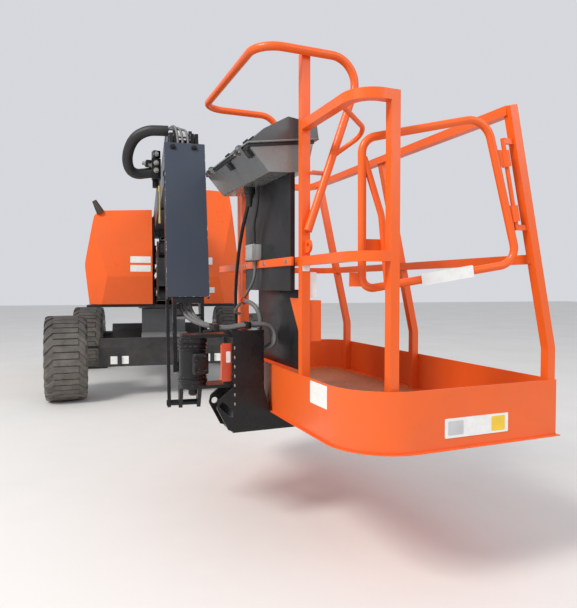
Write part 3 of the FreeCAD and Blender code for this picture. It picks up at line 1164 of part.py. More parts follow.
def gate_frame():
    """The gate's frame stands on its hinge axis, which leans with the front posts."""
    rise = s.rail_top - s.post_knee
    hinge = v_u(s.platform_width - s.toe_wall - s.rail_width / 2 - s.hinge_step, s.toe_wall + s.rail_width / 2, s.post_knee)
    axis = Vector(-s.rail_inset, 0, rise).normalize()
    return hinge, axis


def gate():
    """Swing gate of round tube, on sleeves round the hinge rod beside the leaning post."""
    hinge, axis = gate_frame()
    near = s.toe_wall + s.rail_width / 2
    loop = [(71, 1094), (541, 1196), (694, 667), (84, 563)]
    points = [v_u(v, near, z) for v, z in loop]
    start = (points[0] + points[-1]) * 0.5
    chain = [start] + points + [start]
    heading = (chain[1] - chain[0]).normalize()
    solids = tube_run(chain, [60, 85, 65, 40], round_face(start, heading, s.gate_radius))
    brace = [v_u(80, near, 1030), v_u(150, near, 830), v_u(178, near, 590)]
    heading = (brace[1] - brace[0]).normalize()
    solids += tube_run(brace, 120, round_face(brace[0], heading, s.gate_radius - 3))
    solids.append(Part.makeBox(100, 5, 55, v_u(72, near + 8, 690)))
    solids.append(Part.makeBox(50, 8, 50, v_u(36, near - 4, 575)))
    for z in (s.knuckle_low, s.knuckle_high):
        on_axis = hinge + axis * ((z - s.post_knee) / axis.z)
        inner_v = 541 + (694 - 541) * (1196 - z) / (1196 - 667)
        inner_point = v_u(inner_v, near, z)
        bar = on_axis - inner_point
        solids.append(Part.makeBox(bar.Length, 12, 60, inner_point - Vector(0, 6, 30)))
        solids.append(Part.makeCylinder(2 * s.gate_pin, 60, on_axis - axis * 30, axis))
    whole = merged(solids)
    rod = Part.makeCylinder(s.gate_pin + gap, 900, hinge + axis * 200, axis)
    ajar = Placement(Vector(), Rotation(axis, -s.gate_ajar), hinge)
    node(made("gate", PLATFORM * ajar, whole.cut(rod)))


def ram_points():
    """Pin pairs of the rams: base eye first, then rod eye."""
    riser_pair = (mid + Vector(0, -80, 150), upper + Vector(0, 800, -s.riser_height / 2 - 40))
    boom_pair = (crown + Vector(0, -100, 135), Vector(0, -330, boom.z - s.boom_height / 2 - 90))
    level_pair = (nose + Vector(0, 700, 0), nose + Vector(0, 46, 59))
    down = Vector(0, -math.sin(lean), -math.cos(lean))
    jib_pair = (jib_top + level_step * (s.jib_ram_arm / s.level_offset), jib_top + down * 700)
    return riser_pair, boom_pair, level_pair, jib_pair


riser_ram, boom_ram, level_ram, jib_ram = ram_points()
chassis()
axles()
knuckle(1, "knuckle_left")
knuckle(-1, "knuckle_right")
tie_rod()
wheels()
deck()
riser_bracket()
bulkhead(1, "bulkhead_left", "hood_rise")
bulkhead(-1, "bulkhead_right", "0")
ballast()
engine()
hood(1, "hood_left", "hood_rise")
right_hood = hood(-1, "hood_right", "0")
doc.recompute()
exhaust(right_hood.Shape)
riser("riser_lower", foot, -1)
link("link_lower", foot_link, -1)
mid_frame()
riser("riser_upper", upper, 1, ears=True)
link("link_upper", upper_link, 1)
upright()
main_boom()
fly_boom()
nose_crank()
jib()
level_bar()
ram("riser_ram", riser_ram, 34, 18, 0.88, 52, 30, 18)
ram("boom_ram", boom_ram, 38, 20, 0.9, 52, 30, 18)
ram("level_ram", level_ram, 24, 11, 0.85, 44, 20, 10)
ram("jib_ram", jib_ram, 28, 15, 0.86, 52, 26, 14)
platform_head()
platform_support()
platform_base()
guardrail()
guard_hoop()
console()
gate()
doc.recompute()

failed = [feature.Name for feature in doc.Objects if {"Invalid", "Error"} & set(feature.State)]
if failed:
    raise RuntimeError(f"features failed: {failed}")
whole = FreeCAD.BoundBox()
for feature in NODES:
    whole.add(feature.Shape.optimalBoundingBox(False, False))
origin = Vector(whole.Center.x, whole.Center.y, whole.ZMin)
for feature in NODES:
    feature.Placement = Placement(-origin, Rotation()) * feature.Placement
os.makedirs("parts", exist_ok=True)
for feature in NODES:
    shape = feature.Shape
    if shape.isNull() or not shape.isValid():
        raise RuntimeError(f"bad shape: {feature.Name}")
    feature.Label = feature.Name
    shape.exportStep(f"parts/{feature.Name}.step")
print(len(NODES), "sub-parts; origin", origin)
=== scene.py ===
import json
import math

import bmesh
import bpy
from mathutils import Matrix, Vector

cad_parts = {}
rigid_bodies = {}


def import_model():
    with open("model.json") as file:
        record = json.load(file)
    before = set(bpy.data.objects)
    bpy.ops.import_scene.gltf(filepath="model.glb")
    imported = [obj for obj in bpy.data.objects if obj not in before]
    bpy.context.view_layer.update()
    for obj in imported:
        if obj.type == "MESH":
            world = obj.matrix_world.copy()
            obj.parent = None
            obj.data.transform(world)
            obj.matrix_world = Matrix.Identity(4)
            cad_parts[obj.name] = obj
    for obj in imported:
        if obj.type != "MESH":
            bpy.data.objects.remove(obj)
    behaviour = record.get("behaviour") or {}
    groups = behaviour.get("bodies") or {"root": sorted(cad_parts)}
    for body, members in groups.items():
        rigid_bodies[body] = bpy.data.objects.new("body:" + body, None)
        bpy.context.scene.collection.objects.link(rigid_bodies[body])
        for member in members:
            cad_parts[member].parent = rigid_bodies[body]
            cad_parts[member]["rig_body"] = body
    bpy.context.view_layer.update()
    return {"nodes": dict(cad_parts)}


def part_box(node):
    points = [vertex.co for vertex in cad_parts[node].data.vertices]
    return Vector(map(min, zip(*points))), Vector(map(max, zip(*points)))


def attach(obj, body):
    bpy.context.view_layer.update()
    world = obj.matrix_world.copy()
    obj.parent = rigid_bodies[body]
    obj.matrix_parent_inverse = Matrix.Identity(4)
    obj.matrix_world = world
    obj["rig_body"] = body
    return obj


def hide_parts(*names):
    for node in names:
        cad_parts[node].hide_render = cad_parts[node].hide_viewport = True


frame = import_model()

# Camera and stage
# The machine stands on a plain pale floor and is seen from its front right at chest height, with
# the platform's corner close to the lens. Sky light and two broad lamps make soft shadows.
nodes = frame["nodes"]
scene = bpy.context.scene
scene.view_settings.view_transform = "Standard"
PHOTO_HEIGHT = 608
FOCAL_PX = 560
HORIZON_PX = 286
SENSOR_WIDTH = 36
CLIP_START = 0.02
EYE = Vector((-0.271, -5.216, 1.13))
EYE_YAW = math.radians(-14.27)
camera_data = bpy.data.cameras.new("camera")
camera_data.sensor_width = SENSOR_WIDTH
camera_data.lens = SENSOR_WIDTH * FOCAL_PX / PHOTO_HEIGHT
camera_data.clip_start = CLIP_START
camera = bpy.data.objects.new("camera", camera_data)
camera.location = EYE
look_down = math.atan((PHOTO_HEIGHT / 2 - HORIZON_PX) / FOCAL_PX)
camera.rotation_euler = (math.radians(90) - look_down, 0, EYE_YAW)
scene.collection.objects.link(camera)
scene.camera = camera

DIRT_NOISE = (0.42, 0.78)
GLOSS_NOISE = (0.3, 0.75)
CHIP_NOISE = (0.56, 0.62)
DUST_HEIGHTS = (0.1, 1.1)
DUST_COLOUR = (0.30, 0.27, 0.23)
EDGE_REACH = 0.004
EDGE_COSINES = (0.995, 0.9)
GRAIN_DEPTH = 0.001
DUST_SCALE, CHIP_SCALE, GRAIN_SCALE = 2.5, 14, 30
NOISE_ROUGHNESS = 0.65
COAT_ROUGHNESS = 0.12
MIX_SHARE, MIX_UNDER, MIX_OVER, MIX_RESULT = 0, 6, 7, 2


def surface(name, colour, roughness, grime=(0.10, 0.085, 0.07), amount=0.35, scale=5.0, bump=0.15,
            metallic=0.0, dust=0.0, worn=None, gloss=0.0, shine=0.5):
    """A finish with dirt in patches, uneven gloss, fine grain, dust low down and wear along the edges."""
    material = bpy.data.materials.new(name)
    material.use_nodes = True
    tree = material.node_tree
    make = tree.nodes.new
    link = tree.links.new
    shader = tree.nodes["Principled BSDF"]
    shader.inputs["Metallic"].default_value = metallic
    shader.inputs["Coat Weight"].default_value = gloss
    shader.inputs["Specular IOR Level"].default_value = shine
    shader.inputs["Coat Roughness"].default_value = COAT_ROUGHNESS
    place = make("ShaderNodeTexCoord").outputs["Object"]

    def noise(size, detail):
        made = make("ShaderNodeTexNoise")
        made.inputs["Scale"].default_value = size
        made.inputs["Detail"].default_value = detail
        made.inputs["Roughness"].default_value = NOISE_ROUGHNESS
        link(place, made.inputs["Vector"])
        return made.outputs["Fac"]

    def remap(value, low, high, start, end):
        made = make("ShaderNodeMapRange")
        made.inputs["From Min"].default_value = low
        made.inputs["From Max"].default_value = high
        made.inputs["To Min"].default_value = start
        made.inputs["To Max"].default_value = end
        link(value, made.inputs["Value"])
        return made.outputs["Result"]

    def product(first, second):
        made = make("ShaderNodeMath")
        made.operation = "MULTIPLY"
        link(first, made.inputs[0])
        link(second, made.inputs[1])
        return made.outputs[0]

    def blended(share, under, over):
        made = make("ShaderNodeMix")
        made.data_type = "RGBA"
        link(share, made.inputs[MIX_SHARE])
        if isinstance(under, tuple):
            made.inputs[MIX_UNDER].default_value = (*under, 1)
        else:
            link(under, made.inputs[MIX_UNDER])
        made.inputs[MIX_OVER].default_value = (*over, 1)
        return made.outputs[MIX_RESULT]

    patches = noise(scale, 8)
    shade = blended(remap(patches, *DIRT_NOISE, 0, amount), colour, grime)
    if dust:
        split = make("ShaderNodeSeparateXYZ")
        link(place, split.inputs[0])
        low = remap(split.outputs["Z"], *DUST_HEIGHTS, dust, 0)
        film = product(low, remap(noise(scale * DUST_SCALE, 6), 0.3, 0.7, 0.3, 1))
        shade = blended(film, shade, DUST_COLOUR)
    if worn:
        bevel = make("ShaderNodeBevel")
        bevel.samples = 4
        bevel.inputs["Radius"].default_value = EDGE_REACH
        geometry = make("ShaderNodeNewGeometry")
        turn = make("ShaderNodeVectorMath")
        turn.operation = "DOT_PRODUCT"
        link(bevel.outputs["Normal"], turn.inputs[0])
        link(geometry.outputs["Normal"], turn.inputs[1])
        edge = remap(turn.outputs["Value"], *EDGE_COSINES, 0, 1)
        chips = remap(noise(scale * CHIP_SCALE, 6), *CHIP_NOISE, 0, 1)
        shade = blended(product(edge, chips), shade, worn)
    link(shade, shader.inputs["Base Color"])
    dull = min(roughness + 0.18, 1)
    link(remap(patches, *GLOSS_NOISE, max(roughness - 0.1, 0.03), dull), shader.inputs["Roughness"])
    relief = make("ShaderNodeBump")
    relief.inputs["Strength"].default_value = bump
    relief.inputs["Distance"].default_value = GRAIN_DEPTH
    link(noise(scale * GRAIN_SCALE, 4), relief.inputs["Height"])
    link(relief.outputs["Normal"], shader.inputs["Normal"])
    return material


def coat(material, *names):
    """Gives CAD pieces their finish."""
    for name in names:
        nodes[name].data.materials.clear()
        nodes[name].data.materials.append(material)


def lamp(name, place, aim, size, power, tint):
    """A broad soft lamp at a place, turned to what it lights."""
    data = bpy.data.lights.new(name, "AREA")
    data.size = size
    data.energy = power
    data.color = tint
    made = bpy.data.objects.new(name, data)
    made.location = place
    made.rotation_euler = (Vector(aim) - Vector(place)).to_track_quat("-Z", "Y").to_euler()
    scene.collection.objects.link(made)


FLOOR_SIZE = 60
SKY_COLOUR = (0.93, 0.95, 1.0)
SKY_STRENGTH = 0.72
floor_mesh = bmesh.new()
bmesh.ops.create_grid(floor_mesh, x_segments=1, y_segments=1, size=FLOOR_SIZE / 2)
floor_data = bpy.data.meshes.new("floor")
floor_mesh.to_mesh(floor_data)
floor_mesh.free()
floor = bpy.data.objects.new("floor", floor_data)
scene.collection.objects.link(floor)
floor_pale = surface("floor_pale", (0.72, 0.71, 0.69), 0.8, grime=(0.62, 0.61, 0.59), amount=0.5, scale=0.8,
                     bump=0.05)
floor_data.materials.append(floor_pale)
world = bpy.data.worlds.new("sky")
world.use_nodes = True
world.node_tree.nodes["Background"].inputs["Color"].default_value = (*SKY_COLOUR, 1)
world.node_tree.nodes["Background"].inputs["Strength"].default_value = SKY_STRENGTH
scene.world = world
lamp("sun_side", (-6, -6, 8), aim=(0, 0, 1), size=3, power=900, tint=(1.0, 0.97, 0.92))
lamp("fill_side", (6, -8, 5), aim=(0, -1, 1), size=5, power=200, tint=(0.92, 0.96, 1.0))

# Tyres
# Foam-filled rough-terrain tyres of moulded rubber with forty bars that end in turn at either
# shoulder. The carcass is turned; one bar of each hand is laid over the crown and repeated round it.
TYRE_RADIUS = 0.419
STEER = math.radians(7)
CARCASS_STEPS = 120
BARS_A_SIDE = 20
BAR_DEPTH = 0.022
BAR_ROUND = 0.003
SHARP_BEND = 0.9
JOIN_REACH = 0.00002
CROWN = ((0, 0.419), (0.163, 0.416), (0.185, 0.405), (0.197, 0.353))
CARCASS = ((0.1815, 0.2094), (0.1815, 0.230), (0.192, 0.262), (0.1935, 0.284), (0.191, 0.300),
           (0.1935, 0.308), (0.1935, 0.340), (0.187, 0.372), (0.172, 0.394), (0.150, 0.402), (0.075, 0.405))
BAR = ((-0.112, -0.028), (0.108, -0.028), (0.1955, 0.062), (0.1955, 0.118), (0.112, 0.028), (-0.112, 0.028))
BAR_BENDS = (-0.06, 0, 0.06, 0.112, 0.163, 0.185)
rubber = surface("tyre_rubber", (0.030, 0.029, 0.028), 0.72, grime=(0.17, 0.155, 0.135), amount=0.55,
                 scale=6.0, bump=0.35, dust=0.55)


def finished(name, mesh, material, body, crease=35):
    """Makes a mesh a piece that rides on a body, smooth but for its creases."""
    bmesh.ops.remove_doubles(mesh, verts=mesh.verts, dist=JOIN_REACH)
    bmesh.ops.recalc_face_normals(mesh, faces=mesh.faces)
    data = bpy.data.meshes.new(name)
    mesh.to_mesh(data)
    mesh.free()
    data.shade_smooth()
    data.set_sharp_from_angle(angle=math.radians(crease))
    data.materials.append(material)
    made = bpy.data.objects.new(name, data)
    scene.collection.objects.link(made)
    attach(made, body)
    return made


def turned(mesh, outline, steps, axis="X"):
    """Turns an outline of (along, radius) pairs once round an axis through the origin."""
    spots = [mesh.verts.new((x, 0, r) if axis == "X" else (r, 0, x)) for x, r in outline]
    edges = [mesh.edges.new(pair) for pair in zip(spots, spots[1:])]
    line = (1, 0, 0) if axis == "X" else (0, 0, 1)
    bmesh.ops.spin(mesh, geom=spots + edges, cent=(0, 0, 0), axis=line, angle=math.tau, steps=steps,
                   use_merge=True)


def crown_height(x):
    """Radius of the bars' tops at a distance from the middle plane."""
    for (x0, r0), (x1, r1) in zip(CROWN, CROWN[1:]):
        if abs(x) <= x1:
            return r0 + (r1 - r0) * (abs(x) - x0) / (x1 - x0)
    return CROWN[-1][1]


def tyre_bars(hand):
    """The bars that start past the middle plane and end at one shoulder."""
    bars = bmesh.new()
    bars.faces.new([bars.verts.new((hand * x, along, 0)) for x, along in BAR])
    for bend in BAR_BENDS:
        bmesh.ops.bisect_plane(bars, geom=bars.verts[:] + bars.edges[:] + bars.faces[:],
                               plane_co=(hand * bend, 0, 0), plane_no=(1, 0, 0))
    skin = bmesh.ops.extrude_face_region(bars, geom=bars.faces[:])
    lowered = {v for v in skin["geom"] if isinstance(v, bmesh.types.BMVert)}
    for spot in bars.verts:
        x, along, _ = spot.co
        radius = crown_height(x) - (BAR_DEPTH if spot in lowered else 0)
        angle = along / TYRE_RADIUS + (0 if hand > 0 else math.pi / BARS_A_SIDE)
        spot.co = (x, -radius * math.sin(angle), radius * math.cos(angle))
    bmesh.ops.recalc_face_normals(bars, faces=bars.faces)
    rim = [e for e in bars.edges if len(e.link_faces) == 2 and e.calc_face_angle(0) > SHARP_BEND
           and not all(v in lowered for v in e.verts)]
    bmesh.ops.bevel(bars, geom=rim, offset=BAR_ROUND, segments=1, profile=0.5, material=-1, affect="EDGES")
    bmesh.ops.spin(bars, geom=bars.verts[:] + bars.edges[:] + bars.faces[:], cent=(0, 0, 0), axis=(1, 0, 0),
                   dvec=(0, 0, 0), angle=math.tau * (BARS_A_SIDE - 1) / BARS_A_SIDE, steps=BARS_A_SIDE - 1,
                   use_duplicate=True)
    return bars


def tyre_mesh():
    """One tyre about X, with its middle plane at x = 0."""
    mesh = bmesh.new()
    turned(mesh, CARCASS + tuple((-x, r) for x, r in reversed(CARCASS)) + CARCASS[:1], CARCASS_STEPS)
    bmesh.ops.remove_doubles(mesh, verts=mesh.verts, dist=JOIN_REACH)
    for hand in (1, -1):
        bars = tyre_bars(hand)
        data = bpy.data.meshes.new("bars")
        bars.to_mesh(data)
        bars.free()
        mesh.from_mesh(data)
        bpy.data.meshes.remove(data)
    return mesh


def wheel_place(end, side):
    """Where a wheel's middle stands, with its outer side towards +X of the returned frame."""
    low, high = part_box(f"tyre_{end}_{side}")
    turn = (0 if side == "left" else math.pi) + (STEER if end == "front" else 0)
    return Matrix.Translation((low + high) / 2) @ Matrix.Rotation(turn, 4, "Z")


for end in ("front", "rear"):
    for side in ("left", "right"):
        mesh = tyre_mesh()
        if side == "right":
            bmesh.ops.rotate(mesh, verts=mesh.verts, cent=(0, 0, 0),
                             matrix=Matrix.Rotation(math.pi, 3, "Z"))
        bmesh.ops.transform(mesh, matrix=wheel_place(end, side), verts=mesh.verts)
        tyre = finished(f"tread_{end}_{side}", mesh, rubber, f"wheel_{end}_{side}", crease=28)
        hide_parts(f"tyre_{end}_{side}")

# Rims
# Pressed steel rims, painted cream, with nine wheel nuts, a grease cap and a lock ring.
# Each nut is a six-sided prism with a chamfered top, standing on the disc round the hub.
DISC_FACE = 0.052
NUT_COUNT = 9
NUT_CIRCLE = 0.098
NUT_RADIUS = 0.0135
NUT_HEIGHT = 0.020
GREASE_CAP = ((0.1043, 0), (0.121, 0), (0.121, 0.021), (0.115, 0.029), (0.1043, 0.030), (0.1043, 0))
WASHER_AND_HEX = ((18, 1.45, 0, 0.18), (6, 1.0, 0.18, 1.0))
TOP_TAPER = 0.96
rim_paint = surface("rim_paint", (0.60, 0.58, 0.53), 0.42, grime=(0.2, 0.17, 0.13), amount=0.5, scale=6.0,
                    dust=0.5, worn=(0.22, 0.15, 0.10))
zinc = surface("zinc_plate", (0.52, 0.51, 0.48), 0.38, grime=(0.20, 0.17, 0.13), amount=0.5, scale=20.0,
               bump=0.1, metallic=0.9)


def hex_head(mesh, spot, heading, radius, tall):
    """A bolt head or nut on its washer."""
    turn = Vector(heading).to_track_quat("Z", "Y").to_matrix().to_4x4()
    for sides, wide, low, high in WASHER_AND_HEX:
        made = bmesh.ops.create_cone(mesh, cap_ends=True, segments=sides, radius1=radius * wide,
                                     radius2=radius * wide * TOP_TAPER, depth=(high - low) * tall)
        bmesh.ops.translate(mesh, verts=made["verts"], vec=(0, 0, (low + high) / 2 * tall))
        bmesh.ops.transform(mesh, matrix=Matrix.Translation(Vector(spot)) @ turn, verts=made["verts"])


def bolts(name, spots, radius, material, body, tall=None):
    """Bolt heads at (place, heading) spots, joined in one piece."""
    mesh = bmesh.new()
    for spot, heading in spots:
        hex_head(mesh, spot, heading, radius, tall or radius * 0.9)
    return finished(name, mesh, material, body, crease=25)


for end in ("front", "rear"):
    for side in ("left", "right"):
        coat(rim_paint, f"rim_{end}_{side}")
        mesh = bmesh.new()
        for i in range(NUT_COUNT):
            angle = math.tau * i / NUT_COUNT
            spot = (DISC_FACE, NUT_CIRCLE * math.cos(angle), NUT_CIRCLE * math.sin(angle))
            hex_head(mesh, spot, (1, 0, 0), NUT_RADIUS, NUT_HEIGHT)
        turned(mesh, GREASE_CAP, steps=32)
        bmesh.ops.transform(mesh, matrix=wheel_place(end, side), verts=mesh.verts)
        nuts = finished(f"wheel_nuts_{end}_{side}", mesh, zinc, f"wheel_{end}_{side}", crease=25)

# Chassis and axles
# Welded plate under satin paint, dusty near the ground. The front beam carries blank white reflectors
# beside its tie-down lugs, and the slew ring is held by a circle of bolts.
dark_paint = surface("dark_paint", (0.012, 0.013, 0.016), 0.34, grime=(0.07, 0.062, 0.055), amount=0.35,
                     scale=4.0, dust=0.16, worn=(0.16, 0.12, 0.10), shine=0.3)
grey_paint = surface("grey_paint", (0.22, 0.23, 0.24), 0.45, grime=(0.13, 0.115, 0.10), amount=0.5,
                     scale=4.0, dust=0.35, worn=(0.14, 0.11, 0.09))
sign_white = surface("sign_white", (0.80, 0.80, 0.78), 0.4, grime=(0.45, 0.43, 0.40), amount=0.35,
                     scale=30.0, bump=0.03)
coat(grey_paint, "chassis_frame", "slew_ring")
coat(dark_paint, "front_axle", "rear_axle", "knuckle_left", "knuckle_right", "tie_rod")
FILM = 0.0012
FILM_GAP = 0.0002
UPWARDS = (0, 0, 1)
BACKWARDS = (0, 1, 0)


def sign(name, centre, across, up, width, height, material, body, thick=FILM, round_off=0.004):
    """A thin plate or sticker with rounded corners, standing out along across x up."""
    across = Vector(across).normalized()
    out = across.cross(Vector(up)).normalized()
    up = out.cross(across)
    mesh = bmesh.new()
    bmesh.ops.create_grid(mesh, x_segments=1, y_segments=1, size=0.5)
    bmesh.ops.scale(mesh, verts=mesh.verts, vec=(width, height, 1))
    bmesh.ops.bevel(mesh, geom=mesh.verts[:], offset=round_off, segments=4, profile=0.5, material=-1,
                    affect="VERTICES")
    skin = bmesh.ops.extrude_face_region(mesh, geom=mesh.faces[:])
    raised = [v for v in skin["geom"] if isinstance(v, bmesh.types.BMVert)]
    bmesh.ops.translate(mesh, verts=raised, vec=(0, 0, thick))
    turn = Matrix((across, up, out)).transposed().to_4x4()
    bmesh.ops.transform(mesh, matrix=Matrix.Translation(Vector(centre)) @ turn, verts=mesh.verts)
    return finished(name, mesh, material, body)


def stuck(name, node, start, heading, width, height, material, thick=FILM):
    """A sign laid flat on the face of a CAD piece that a line from start along heading meets."""
    hit, spot, normal, _ = nodes[node].ray_cast(Vector(start), Vector(heading))
    if not hit:
        raise ValueError(f"{name} meets nothing")
    if normal.dot(Vector(heading)) > 0:
        normal = -normal
    across = Vector(UPWARDS).cross(normal)
    body = nodes[node]["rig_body"]
    return sign(name, spot + normal * FILM_GAP, across, normal.cross(across), width, height, material, body,
                thick)


bpy.context.view_layer.update()
LUG_MIDDLES = (-0.531, 0.389)
REFLECTOR_OFFSET = 0.054
REFLECTOR_SIZE = (0.066, 0.078)
REFLECTOR_Z = 0.392
BEFORE_BEAM = 0.3
for i, lug_x in enumerate(LUG_MIDDLES):
    for step, x in enumerate((lug_x - REFLECTOR_OFFSET, lug_x + REFLECTOR_OFFSET)):
        reflector = stuck(f"reflector_{i}_{step}", "front_axle", (x, BEFORE_BEAM, REFLECTOR_Z), BACKWARDS,
                          *REFLECTOR_SIZE, sign_white)
SLEW_X, SLEW_Y = -0.071, 1.884
RING_BOLTS = 24
RING_CIRCLE = 0.245
RING_TOP = 0.925
RING_BOLT_RADIUS = 0.011
ring_spots = []
for i in range(RING_BOLTS):
    angle = math.tau * i / RING_BOLTS
    spot = (SLEW_X + RING_CIRCLE * math.cos(angle), SLEW_Y + RING_CIRCLE * math.sin(angle), RING_TOP)
    ring_spots.append((spot, UPWARDS))
bolts("slew_bolts", ring_spots, RING_BOLT_RADIUS, zinc, "turntable")

# Turntable and risers
# Cut and welded plate and box sections in satin black, turning on greased steel pins.
# Each pin ends in a plated cap on either side, wider at its foot, which lies flat on the plate.
coat(dark_paint, "turntable_deck", "riser_bracket", "bulkhead_left", "bulkhead_right", "counterweight",
     "mid_frame", "upright", "riser_lower", "riser_upper", "link_lower", "link_upper", "exhaust_pipe")
engine_cast = surface("engine_cast", (0.16, 0.16, 0.165), 0.6, grime=(0.06, 0.05, 0.04), amount=0.7,
                      scale=9.0, bump=0.6)
tank_moulding = surface("tank_moulding", (0.55, 0.54, 0.48), 0.5, grime=(0.25, 0.22, 0.17), amount=0.5)
coat(engine_cast, "engine_block")
coat(tank_moulding, "fluid_tanks")
MID_X = -0.071
PIN_HALF_LENGTH = 0.095
PIN_RADIUS = 0.026
CAP_FLARE = 0.004
CAP_THICK = 0.006
PIN_PLACES = (("riser_foot", "turntable", 2.644, 1.060), ("mid_low", "mid_frame", 0.504, 1.060),
              ("mid_high", "mid_frame", 0.384, 1.490), ("crown", "upright", 2.584, 1.490),
              ("boom_root", "upright", 2.674, 1.900))
for name, body, y, z in PIN_PLACES:
    mesh = bmesh.new()
    for hand in (-1, 1):
        cap = bmesh.ops.create_cone(mesh, cap_ends=True, segments=32, radius1=PIN_RADIUS + CAP_FLARE,
                                    radius2=PIN_RADIUS, depth=CAP_THICK)["verts"]
        cap_middle = Matrix.Translation((MID_X + hand * (PIN_HALF_LENGTH + CAP_THICK / 2), y, z))
        cap_turn = Matrix.Rotation(hand * math.pi / 2, 4, "Y")
        bmesh.ops.transform(mesh, verts=cap, matrix=cap_middle @ cap_turn)
    finished(f"pin_caps_{name}", mesh, zinc, body)

# Tail pipe
# The exhaust's open end above the right hood: a thin steel horn that tapers and leans outwards,
# bridged from ring to ring along its bend and given a wall.
HORN_RINGS = ((-0.741, 1.198, 1.925, 0.041), (-0.762, 1.193, 1.965, 0.037), (-0.784, 1.189, 2.008, 0.030),
              (-0.806, 1.186, 2.050, 0.024))
HORN_WALL = 0.003
burnt_steel = surface("burnt_steel", (0.045, 0.040, 0.037), 0.6, grime=(0.16, 0.08, 0.045), amount=0.6,
                      scale=12.0, bump=0.4, metallic=0.4)
mesh = bmesh.new()
rings = []
for i, (x, y, z, radius) in enumerate(HORN_RINGS):
    ahead = Vector(HORN_RINGS[min(i + 1, len(HORN_RINGS) - 1)][:3]) - Vector(HORN_RINGS[max(i - 1, 0)][:3])
    ring = bmesh.ops.create_circle(mesh, cap_ends=False, segments=32, radius=radius)["verts"]
    turn = ahead.to_track_quat("Z", "Y").to_matrix().to_4x4()
    bmesh.ops.transform(mesh, verts=ring, matrix=Matrix.Translation((x, y, z)) @ turn)
    rings.append(list({e for v in ring for e in v.link_edges}))
for lower, upper in zip(rings, rings[1:]):
    bmesh.ops.bridge_loops(mesh, edges=lower + upper)
bmesh.ops.recalc_face_normals(mesh, faces=mesh.faces)
bmesh.ops.solidify(mesh, geom=mesh.faces[:], thickness=HORN_WALL)
finished("tail_horn", mesh, burnt_steel, "hood_right", crease=50)

# Booms and jib
# Welded box sections and plates in a cooler blue grey; hard chrome rods slide in painted barrels.
# The jib's cover is one bent plate, scraped bright along its edges and held by two black screws.
boom_paint = surface("boom_paint", (0.040, 0.050, 0.068), 0.38, grime=(0.12, 0.11, 0.10), amount=0.25,
                     scale=4.0, bump=0.1, worn=(0.50, 0.50, 0.50))
cover_paint = surface("cover_paint", (0.038, 0.050, 0.074), 0.5, grime=(0.06, 0.065, 0.08), amount=0.3,
                      scale=3.0, bump=0.12, worn=(0.75, 0.75, 0.76), shine=0.3)
black_paint = surface("black_paint", (0.008, 0.0085, 0.010), 0.26, grime=(0.05, 0.045, 0.04), amount=0.25,
                      scale=7.0, worn=(0.22, 0.20, 0.18), shine=0.3)
chrome = surface("ram_chrome", (0.78, 0.79, 0.80), 0.15, grime=(0.3, 0.28, 0.25), amount=0.2, scale=8.0,
                 bump=0.02, metallic=1.0)
coat(boom_paint, "main_boom", "fly_boom", "riser_ram_barrel", "boom_ram_barrel")
coat(black_paint, "nose_crank", "jib_boom", "level_bar", "rotator_housing", "platform_support",
     "level_ram_barrel", "jib_ram_barrel")
coat(cover_paint, "jib_cover")
coat(chrome, "riser_ram_rod", "boom_ram_rod", "level_ram_rod", "jib_ram_rod")
JIB_TOP = Vector((-0.071, -2.166, 1.900))
JIB_LEAN = math.radians(-15)
COVER_FACE = -0.0701
SCREW_DROP = -0.075
SCREW_ROW = (-0.060, 0.048)
SCREW_RADIUS = 0.011
SCREW_HEIGHT = 0.012


def on_jib(x, y, z):
    """A place in the leaning jib's own frame, which hangs from its top pin."""
    return JIB_TOP + Matrix.Rotation(JIB_LEAN, 3, "X") @ Vector((x, y, z))


jib_out = Matrix.Rotation(JIB_LEAN, 3, "X") @ Vector((0, -1, 0))
screws = [(on_jib(x, COVER_FACE, SCREW_DROP), jib_out) for x in SCREW_ROW]
bolts("cover_screws", screws, SCREW_RADIUS, black_paint, "jib", SCREW_HEIGHT)

# Rotator
# The platform turns on a black steel drum with rolled bands, a port block facing forward and a
# castle nut below. The block is held by four cap screws.
ROTATOR = Vector((-0.071, -2.686, 0))
DRUM_RADIUS = 0.0602
BAND_ROUND = 0.002
BANDS = ((0.702, 0.716, 0.066), (0.722, 0.730, 0.063), (0.846, 0.854, 0.064), (0.862, 0.870, 0.067),
         (0.878, 0.894, 0.0665))
CASTLE_NUT = ((0.674, 0.001), (0.674, 0.020), (0.648, 0.020), (0.640, 0.014), (0.640, 0.001))
PORT_BLOCK = (0.070, 0.036, 0.092)
PORT_SCREWS = ((-0.02, 0.025), (0.02, 0.025), (-0.02, -0.025), (0.02, -0.025))
PORT_TURN = 0.38
PORT_MIDDLE = Vector((0.026, -0.066, 0.790))


def block(mesh, size, place, round_off, segments=2):
    """Adds a block with rounded edges at a place given as a matrix."""
    corners = bmesh.ops.create_cube(mesh, size=1)["verts"]
    fresh = set(corners)
    edges = [e for e in mesh.edges if e.verts[0] in fresh]
    bmesh.ops.scale(mesh, verts=corners, vec=size)
    bmesh.ops.transform(mesh, verts=corners, matrix=place)
    bmesh.ops.bevel(mesh, geom=edges, offset=round_off, segments=segments, profile=0.5, material=-1,
                    affect="EDGES")


